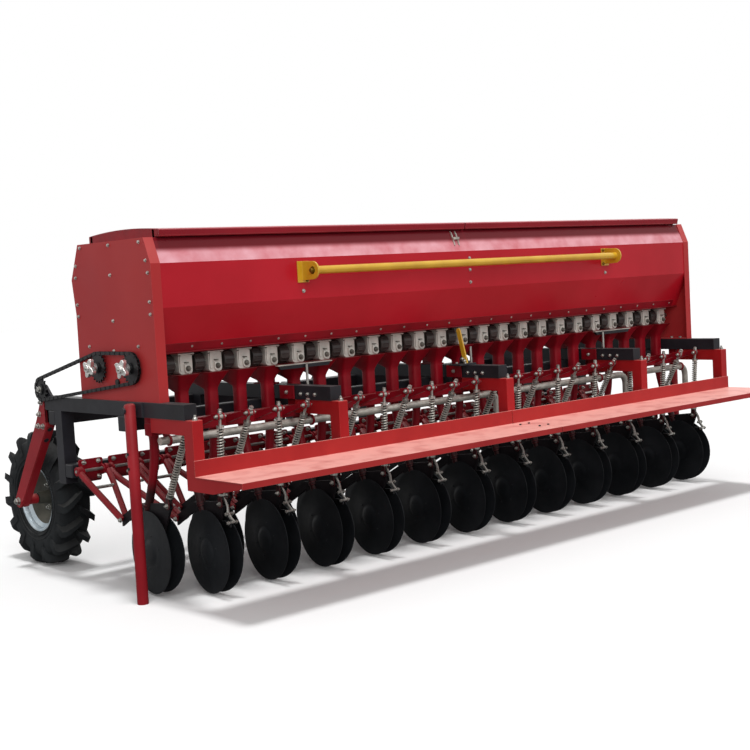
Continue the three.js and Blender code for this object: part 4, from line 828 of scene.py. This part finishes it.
def convex_loop(points):
    """The tightest loop round a set of points, from the hindmost one."""
    hull = [points[i] for i in geometry.convex_hull_2d(points)]
    first = hull.index(min(hull))
    return hull[first:] + hull[:first]


def along_loop(loop, pitch):
    """An even number of points, equally far apart round a closed loop, as near the pitch as fits."""
    ends = [Vector(p) for p in (*loop, loop[0])]
    lengths = [(b - a).length for a, b in zip(ends, ends[1:])]
    count = 2 * round(sum(lengths) / pitch / 2)
    step = sum(lengths) / count
    out, i, passed = [], 0, 0.0
    for k in range(count):
        while passed + lengths[i] < k * step:
            passed += lengths[i]
            i += 1
        out.append(ends[i].lerp(ends[i + 1], (k * step - passed) / lengths[i]))
    return out


def add_sprocket(shape, y, z, teeth, side):
    root, tip = pitch_radius(teeth) - 0.005, pitch_radius(teeth) + 0.005
    outline = []
    for k in range(teeth):
        for share, radius in ((-0.5, root), (-0.22, root), (-0.08, tip), (0.08, tip), (0.22, root)):
            angle = 2 * math.pi * (k + share) / teeth
            outline.append((y + radius * math.cos(angle), z + radius * math.sin(angle)))
    x = side * CHAIN_X
    plate(shape, outline, x, 0.0035)
    cylinder(shape, P(x, y, z), (side, 0, 0), 0.024, -0.008, 0.010, 24)


def add_chain(shape, x):
    """Rollers a pitch apart round the three sprockets, joined by inner and outer plates by turns."""
    loop = []
    for y, z, teeth in (*METER_SPROCKETS, STUB_SPROCKET):
        loop += arc((y, z), pitch_radius(teeth), 0, 360 * 63 / 64, 63)
    stops = along_loop(convex_loop(loop), CHAIN_PITCH)
    for k, (here, there) in enumerate(zip(stops, stops[1:] + stops[:1])):
        cylinder(shape, P(x, *here), RIGHT, 0.0045, -0.0055, 0.0055, 8)
        slope = math.degrees(math.atan2(there.y - here.y, there.x - here.x))
        link = arc(here, 0.0072, slope + 90, slope + 270, 4) + arc(there, 0.0072, slope - 90, slope + 90, 4)
        for way in (-1, 1):
            plate(shape, link, x + way * (0.0045 if k % 2 else 0.0062), 0.0008)


def add_hand_wheel(shape, nuts, y, z, side):
    """A cast hand-wheel with four lobes on the end of a metering shaft."""
    lobes = []
    for angle in angles_round(48):
        radius = 0.0335 + 0.0100 * math.cos(4 * angle)
        lobes.append((y + radius * math.cos(angle + 0.5), z + radius * math.sin(angle + 0.5)))
    plate(shape, lobes, side * (HAND_WHEEL_X + HAND_WHEEL_THICK / 2), HAND_WHEEL_THICK / 2)
    collar = [(0, 0.020), (0.024, 0.020), (0.048, 0.017)]
    turned(shape, P(side * SHAFT_COLLAR_X, y, z), (side, 0, 0), collar, 20)
    bolt(nuts, P(side * SHAFT_NUT_X, y, z), (side, 0, 0), 0.0075, washer=False)


def build_chain_drives():
    for word, side in SIDES:
        links, wheels, hubs, trim = shapes(4)
        add_chain(links, side * CHAIN_X)
        for y, z, teeth in (*METER_SPROCKETS, STUB_SPROCKET):
            add_sprocket(wheels, y, z, teeth, side)
        for y, z, _ in METER_SPROCKETS:
            add_hand_wheel(hubs, trim, y, z, side)
        bolt(trim, P(side * STUB_NUT_X, *STUB_SPROCKET[:2]), (side, 0, 0), 0.012)
        cylinder(wheels, P(side * PANEL_BOSS[0], *PANEL_BOSS[1:]), (side, 0, 0), 0.014, 0, 0.008, 14)
        piece(f"roller_chain_{word}", links, CHAIN, [f"chain_drive_{word}"])
        piece(f"sprockets_{word}", wheels, CHAIN, bevel=0.0006)
        piece(f"hand_wheels_{word}", hubs, POLISHED, bevel=0.003)
        piece(f"chain_nuts_{word}", trim, ZINC)


# ---- Lids ----
LID_FRONT_Y = 0.526
LID_EDGE_Z = 1.520
LID_FOOT_Z = 1.491
LID_LEDGE_Z = 1.4875
LID_SHEET = 0.0025
LID_HINGE = (0.545, 1.505)


def crown_of(low, high, edge_z, rise):
    """The curve over a lid, from its rear edge to its front one."""
    middle, half = (low + high) / 2, (high - low) / 2
    return [(middle + half * t, edge_z + rise * (1 - t * t)) for t in (i / 12 - 1 for i in range(25))]


def build_lids():
    for word, side in SIDES:
        low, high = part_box(f"lid_{word}")
        rear, front = low.y - REAR_AXIS_Y, LID_FRONT_Y
        near, far = (low.x, high.x) if side > 0 else (high.x, low.x)
        shoulder, rise = LID_EDGE_Z - 0.004, high.z - LID_EDGE_Z
        skin, gables, trim = shapes(3)
        outer = [(rear + 0.006, LID_FOOT_Z), (rear, shoulder)]
        outer += crown_of(rear + 0.003, front - 0.003, LID_EDGE_Z, rise)
        outer += [(front, shoulder), (front, LID_FOOT_Z)]
        inner = [(front - LID_SHEET, LID_FOOT_Z), (front - LID_SHEET, shoulder - 0.002)]
        inner += crown_of(rear + 0.005, front - 0.005, LID_EDGE_Z - LID_SHEET, rise)[::-1]
        inner += [(rear + LID_SHEET, shoulder - 0.002), (rear + 0.006 + LID_SHEET, LID_FOOT_Z)]
        prism(skin, outer + inner, "yz", near, far)
        # The skirt leans in, and its edge is rolled round a wire.
        tube(trim, [P(x, rear + 0.008, LID_FOOT_Z + 0.002) for x in (near, far)], 0.004)
        gable = [(rear + 0.014, LID_FOOT_Z), (0.010, LID_FOOT_Z), (0.010, LID_LEDGE_Z),
                 (0.514, LID_LEDGE_Z), (0.514, LID_FOOT_Z), (front - 0.004, LID_FOOT_Z)]
        gable += crown_of(rear + 0.004, front - 0.004, LID_EDGE_Z - 0.003, rise)[::-1]
        for x in (near, far - side * 0.003):
            prism(gables, gable, "yz", x, x + side * 0.003)
        for y in (0.018, 0.506):
            block(gables, (near, far), (y - 0.008, y + 0.008), (LID_LEDGE_Z, 1.5205))
        hinge_y, hinge_z = LID_HINGE
        for x in ((near + far) / 2 - 0.620, (near + far) / 2 + 0.620):
            knuckle = [(front - 0.002, 1.508), (hinge_y - 0.004, hinge_z - 0.011)]
            knuckle += arc(LID_HINGE, 0.011, -90, 90, 8) + [(front - 0.002, 1.519)]
            plate(gables, knuckle, x, 0.005)
        body = f"lid_{word}"
        piece(f"lid_skin_{word}", skin, LID_RED, [f"lid_{word}"], body=body, smooth=25)
        piece(f"lid_ends_{word}", gables, SHADED_RED, bevel=0.0006, body=body)
        piece(f"lid_trim_{word}", trim, SHADED_RED, body=body)


def build_lid_catch():
    """A small hook on the hopper's rear shoulder that holds the lids' edge beside the split."""
    hook = Shape()
    strap = [(-0.0345, 1.412), (-0.0265, 1.412), (0.0005, 1.478), (-0.004, 1.482), (-0.013, 1.470)]
    for x in (-0.085, -0.055):
        plate(hook, strap, x, 0.003)
    block(hook, (-0.090, -0.050), (-0.030, -0.022), (1.440, 1.452))
    piece("lid_catch", hook, SPRING, bevel=0.0006)


# ---- Stands ----
def build_stands():
    for word, _ in SIDES:
        low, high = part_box(f"stand_{word}")
        x, y = (low.x + high.x) / 2, (low.y + high.y) / 2 - REAR_AXIS_Y
        radius, top = (high.x - low.x) / 2, high.z
        shape, holes = shapes(2)
        profile = [(0.0, radius - 0.004), (0.0, radius - 0.001), (0.003, radius), (0.300, radius),
                   (top - 0.010, radius), (top - 0.003, radius - 0.004), (top, radius - 0.012), (top, 0.004)]
        turned(shape, P(x, y, 0), UP, profile, 32)
        # Two pin holes through the tube, drawn as dark discs: painted shade in the holes.
        for z in (0.56, 0.62):
            cylinder(holes, P(x, y, z), RIGHT, 0.007, -radius - 0.0015, radius + 0.0015, 14)
        body = f"stand_{word}"
        piece(f"stand_tube_{word}", shape, STAND_RED, [f"stand_{word}"], body=body)
        piece(f"stand_holes_{word}", holes, CHAIN, body=body)


# ---- Pressure bars, grab bar and rate lever ----
def build_pressure_bars():
    """Round bars, one to a bay, each turned down at its right end, with a hanger plate at each rail."""
    bars, plates = shapes(2)
    starts = [-1.790] + [x + 0.235 for x in INNER_RAILS_X]
    ends = [x + 0.185 for x in INNER_RAILS_X] + [1.790]
    for start, end in zip(starts, ends):
        line = [P(start, 0, PIPE_Z), P(end, 0, PIPE_Z), P(end, 0, PIPE_Z - 0.120)]
        tube(bars, bend(line, 0.055, 7), 0.017, 16)
    outline = [(0.045, 0.700), (0.045, 0.735), (0.000, 0.690)]
    outline += arc((0, PIPE_Z), 0.024, 90, 270, 8) + [(0.006, PIPE_Z - 0.024)]
    for x in RAILS_X:
        plate(plates, outline, x + (0.038 if x <= 0 else -0.038), 0.004)
    piece("pressure_bars", bars, SPRING, ["pressure_pipe"])
    piece("pressure_bar_hangers", plates, SHADED_RED, bevel=0.001)


def build_grab_bar():
    bar, bolts = shapes(2)
    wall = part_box("grab_rail")[1].y - REAR_AXIS_Y
    y, z, half = -0.115, 1.325, 1.040
    tube(bar, [P(-half - 0.004, y, z), P(half + 0.004, y, z)], 0.0175, 28)
    outline = [(wall, z - 0.042), (wall, z + 0.042)] + arc((y, z), 0.039, 90, 270, 16)
    for side in (-1, 1):
        x = side * half
        plate(bar, outline, x, 0.004)
        block(bar, (x - 0.030, x + 0.030), (wall - 0.006, wall), (z - 0.050, z + 0.042))
        bolt(bolts, P(x + side * 0.004, y, z), (side, 0, 0), 0.011, stud=0.003)
        for up in (-0.040, 0.032):
            bolt(bolts, P(x - side * 0.019, wall - 0.006, z + up), BACK, 0.007)
    piece("grab_bar", bar, YELLOW, ["grab_rail"], bevel=0.001)
    piece("grab_bar_bolts", bolts, BRASS)


def build_rate_lever():
    """A flat hand lever on a black quadrant, bolted on the middle rail."""
    lever, base, nuts = shapes(3)
    low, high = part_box("rate_lever")
    x = (low.x + high.x) / 2
    foot, top = low.y - REAR_AXIS_Y + 0.018, high.z
    plate_top = RAIL_TOP + 0.008
    lean, wide, thick = 0.040, 0.013, 0.004
    block(base, (low.x + 0.004, high.x - 0.004), (foot - 0.016, foot + 0.060), (RAIL_TOP, plate_top))
    quadrant = [(foot - 0.012, plate_top), (foot + 0.050, plate_top)]
    quadrant += arc((foot + 0.018, RAIL_TOP + 0.020), 0.030, 0, 180, 8)
    prism(base, quadrant, "yz", x + 0.004, x + 0.007)
    blade = [(foot - wide, plate_top + 0.002), (foot + wide, plate_top + 0.002),
             (foot + lean + wide, top - 0.010), (foot + lean + wide - 0.008, top),
             (foot + lean - wide + 0.008, top), (foot + lean - wide, top - 0.010)]
    plate(lever, blade, x, thick)
    for away, up in ((0.002, 0.020), (0.016, 0.030)):
        bolt(nuts, P(x - thick, foot + away, RAIL_TOP + up), LEFT, 0.008, stud=0.004)
    for away in (-0.008, 0.050):
        bolt(nuts, P(x - 0.012, foot + away, plate_top), UP, 0.006)
    piece("rate_lever_blade", lever, YELLOW, ["rate_lever"], bevel=0.001)
    piece("rate_lever_base", base, BLACK, bevel=0.0006)
    piece("rate_lever_nuts", nuts, ZINC)


# ---- Bolts and fittings ----
HOPPER_WALL_Y = -0.0407
SLOPE_FACING = (0, -0.888, -0.460)
PANEL_BOLTS = (  # (y, z) on each end panel
    (0.030, 1.472), (0.266, 1.472), (0.500, 1.472), (0.266, 1.349), (0.266, 1.160),
    (-0.012, 1.397), (-0.023, 1.347), (-0.023, 1.232), (-0.023, 1.182),
    (0.545, 1.397), (0.552, 1.347), (0.552, 1.232), (0.548, 1.182),
    (0.083, 1.054), (0.276, 1.035), (0.474, 1.053),
)


def on_slope(z, out=0.0):
    """Y on the hopper's lower rear slope at a height, or that far out from it."""
    top_z, foot_z = 1.205, 1.020
    return mix(HOPPER_WALL_Y, 0.055, (z - top_z) / (foot_z - top_z)) - out


def build_panel_bolts():
    bolts = Shape()
    for _, side in SIDES:
        for y, z in PANEL_BOLTS:
            bolt(bolts, P(side * PANEL_X, y, z), (side, 0, 0), 0.0060)
    for z in (1.348, 1.292, 1.232):
        bolt(bolts, P(0, HOPPER_WALL_Y, z), BACK, 0.0065)
    for x in (-1.040, 1.040):
        bolt(bolts, P(x, HOPPER_WALL_Y, 1.238), BACK, 0.007)
    for row in range(ROWS):
        bolt(bolts, P(row_x(row) - 0.004, on_slope(1.040), 1.040), SLOPE_FACING, 0.0055)
    piece("panel_bolts", bolts, ZINC)


def build_lower_flange():
    """The slope's lower edge is folded out into a narrow flange."""
    flange = Shape()
    lip = [(on_slope(1.056), 1.056), (on_slope(1.056, 0.0025), 1.055), (on_slope(1.024, 0.0030), 1.022),
           (on_slope(1.024), 1.0225)]
    plate(flange, lip, 0, 1.755)
    piece("hopper_lower_flange", flange, SHADED_RED)


def build_frame_bolts():
    bolts, board_bolts, joint_bolts = shapes(3)
    eye_plate = 0.006  # the thickness of the plate that holds a stand's eye
    for x in RAILS_X:
        bolt(bolts, P(x, -0.256, RAIL_BOTTOM), UP, 0.010, stud=0.010)
        for across in (-0.014, 0.014):
            for y in (-0.330, -0.500):
                turned(board_bolts, P(x + across, y, BOARD_TOP), UP, [(0, 0.009), (0.0015, 0.006)], 14)
    for x in (-0.030, 0.030):
        for y in (-0.350, -0.470):
            bolt(joint_bolts, P(x, y, BOARD_TOP), UP, 0.006, washer=False)
    for side in (-1, 1):
        for x in INNER_RAILS_X:
            for y in (-0.120, -0.071, -0.022):
                bolt(bolts, P(x + side * RAIL_HALF, y, 0.791), (side, 0, 0), 0.0075)
        for y, z in ((0.930, 0.800), (0.955, 0.745), (0.930, 0.690), (0.975, 0.690)):
            bolt(bolts, P(side * OUTER_FACE_X, y, z), (side, 0, 0), 0.011, stud=0.006)
        bolt(bolts, P(side * (OUTER_FACE_X + eye_plate), 0.180, 0.797), (side, 0, 0), 0.010)
        for y in (0.02, 0.08, 0.44, 0.52):
            bolt(bolts, P(side * RAILS_X[-1], y, 0.8325), UP, 0.009)
    for x in (-0.40, -0.15, 0.15, 0.40):
        for z in (0.722, 0.748):
            bolt(bolts, P(x, 0.8875, z), AHEAD, 0.010, stud=0.006)
    piece("frame_bolts", bolts, ZINC)
    piece("board_bolts", board_bolts, BOARD_RED)
    piece("board_joint_bolts", joint_bolts, CHAIN)


def build_hitch_pins():
    """Two lower pins and a top one, each with a collar and a ring through its end."""
    pins = Shape()
    y = 0.965
    for x, z, half, radius in ((-0.4125, 0.550, 0.066, 0.0140), (0.4125, 0.550, 0.066, 0.0140),
                               (0.0, 1.160, 0.064, 0.0120)):
        pin = [(-half, radius - 0.002), (0.003 - half, radius), (half - 0.010, radius),
               (half, radius - 0.004)]
        turned(pins, P(x, y, z), RIGHT, pin, 20)
        turned(pins, P(x - half - 0.008, y, z), RIGHT, [(0, radius + 0.006), (0.008, radius + 0.008)], 20)
        ring = [P(x + half - 0.008, y + (radius + 0.016) * math.sin(a),
                  z - 0.010 - (radius + 0.012) * math.cos(a)) for a in angles_round(20)]
        tube(pins, ring, 0.002, 6)
    piece("hitch_pins", pins, ZINC)


def build_trays():
    """Calibration trays under the rear metering bank, and a rod with its clamp at each inner rail."""
    trays, rims, rods, clamps = shapes(4)
    for x in (-0.975, 1.215):
        dish = [(x - 0.150, 0.916), (x - 0.136, 0.898), (x + 0.136, 0.898), (x + 0.150, 0.916)]
        prism(trays, dish, "xz", 0.060, 0.074)
        block(rims, (x - 0.155, x + 0.155), (0.057, 0.076), (0.914, 0.919))
    for rail in INNER_RAILS_X:
        x = rail + 0.070
        tube(rods, [P(x, 0.050, 0.912), P(x, 0.050, 0.776)], 0.006, 10)
        bolt(rods, P(x, 0.050, 0.780), DOWN, 0.009, stud=0.006)
        for side in (-1, 1):
            near, far = rail + side * RAIL_HALF, rail + side * (RAIL_HALF + 0.006)
            block(clamps, (near, far), (0.020, 0.120), (0.768, 0.827))
            bolt(rods, P(far, 0.070, 0.797), (side, 0, 0), 0.008)
        block(clamps, (rail + 0.036, rail + 0.084), (0.038, 0.062), (0.790, 0.802))
    piece("calibration_trays", trays, BLACK, bevel=0.001)
    piece("calibration_tray_rims", rims, SPRING, bevel=0.0006)
    piece("tray_rods", rods, ZINC)
    piece("rail_clamps", clamps, SHADED_RED, bevel=0.001)


build_openers()
build_metering()
build_funnels()
build_wheels()
build_wheel_arms()
build_lid_catch()
build_chain_drives()
build_lids()
build_stands()
build_pressure_bars()
build_grab_bar()
build_panel_bolts()
build_frame_bolts()
build_lower_flange()
build_hitch_pins()
build_rate_lever()
build_trays()


# ---- Stage ----
def add_to_scene(name, data):
    obj = bpy.data.objects.new(name, data)
    bpy.context.scene.collection.objects.link(obj)
    return obj


def grey(level):
    return (level, level, level, 1)


def build_floor():
    """A mid grey floor that the camera sees as a pale one."""
    reach = 40.0
    mesh = bpy.data.meshes.new("floor")
    mesh.from_pydata([(-reach, -reach, 0), (reach, -reach, 0), (reach, reach, 0), (-reach, reach, 0)], [],
                     [(0, 1, 2, 3)])
    material = bpy.data.materials.new("floor")
    graph = Graph(material)
    seen = graph.add("LightPath", {}, "Is Camera Ray")
    graph.feed(graph.tree.nodes["Principled BSDF"], {
        "Base Color": graph.blend(seen, grey(0.30), grey(0.93)),
        "Roughness": 0.9, "Specular IOR Level": 0.0,
    })
    mesh.materials.append(material)
    add_to_scene("floor", mesh)


def build_world():
    """White to the camera and in reflections, and dimmer as a light."""
    world = bpy.data.worlds.new("studio")
    bpy.context.scene.world = world
    graph = Graph(world)
    camera, glossy, through = (graph.add("LightPath", {}, f"Is {ray} Ray")
                               for ray in ("Camera", "Glossy", "Transmission"))
    seen = graph.maths("MAXIMUM", graph.maths("MAXIMUM", camera, glossy), through)
    graph.feed(graph.tree.nodes["Background"],
               {"Color": grey(1), "Strength": graph.remap(seen, 0.0, 1.0, 0.41, 1.0)})


def build_sun(name, direction, strength, angle):
    light = bpy.data.lights.new(name, "SUN")
    light.energy = strength
    light.angle = math.radians(angle)
    sun = add_to_scene(name, light)
    sun.rotation_euler = Vector(direction).to_track_quat("-Z", "Y").to_euler()


def build_camera():
    yaw, pitch, roll = 0.7252, 0.0735, -0.0556
    ahead = Vector((math.sin(yaw) * math.cos(pitch), math.cos(yaw) * math.cos(pitch), -math.sin(pitch)))
    level = Vector((math.cos(yaw), -math.sin(yaw), 0))
    above = level.cross(ahead)
    data = bpy.data.cameras.new("camera")
    data.lens = 63.18
    data.sensor_width = 36
    camera = add_to_scene("camera", data)
    axes = Matrix((swing(roll, level, above), swing(roll, above, -level), -ahead)).transposed()
    camera.matrix_world = Matrix.Translation(P(-4.622, -4.519, 1.277)) @ axes.to_4x4()
    bpy.context.scene.camera = camera


build_floor()
build_world()
build_sun("key", (0.03, 0.09, -1.0), 1.75, 9)
build_sun("fill", (0.40, 0.76, -0.52), 1.18, 50)
build_camera()
bpy.context.scene.view_settings.view_transform = "Standard"
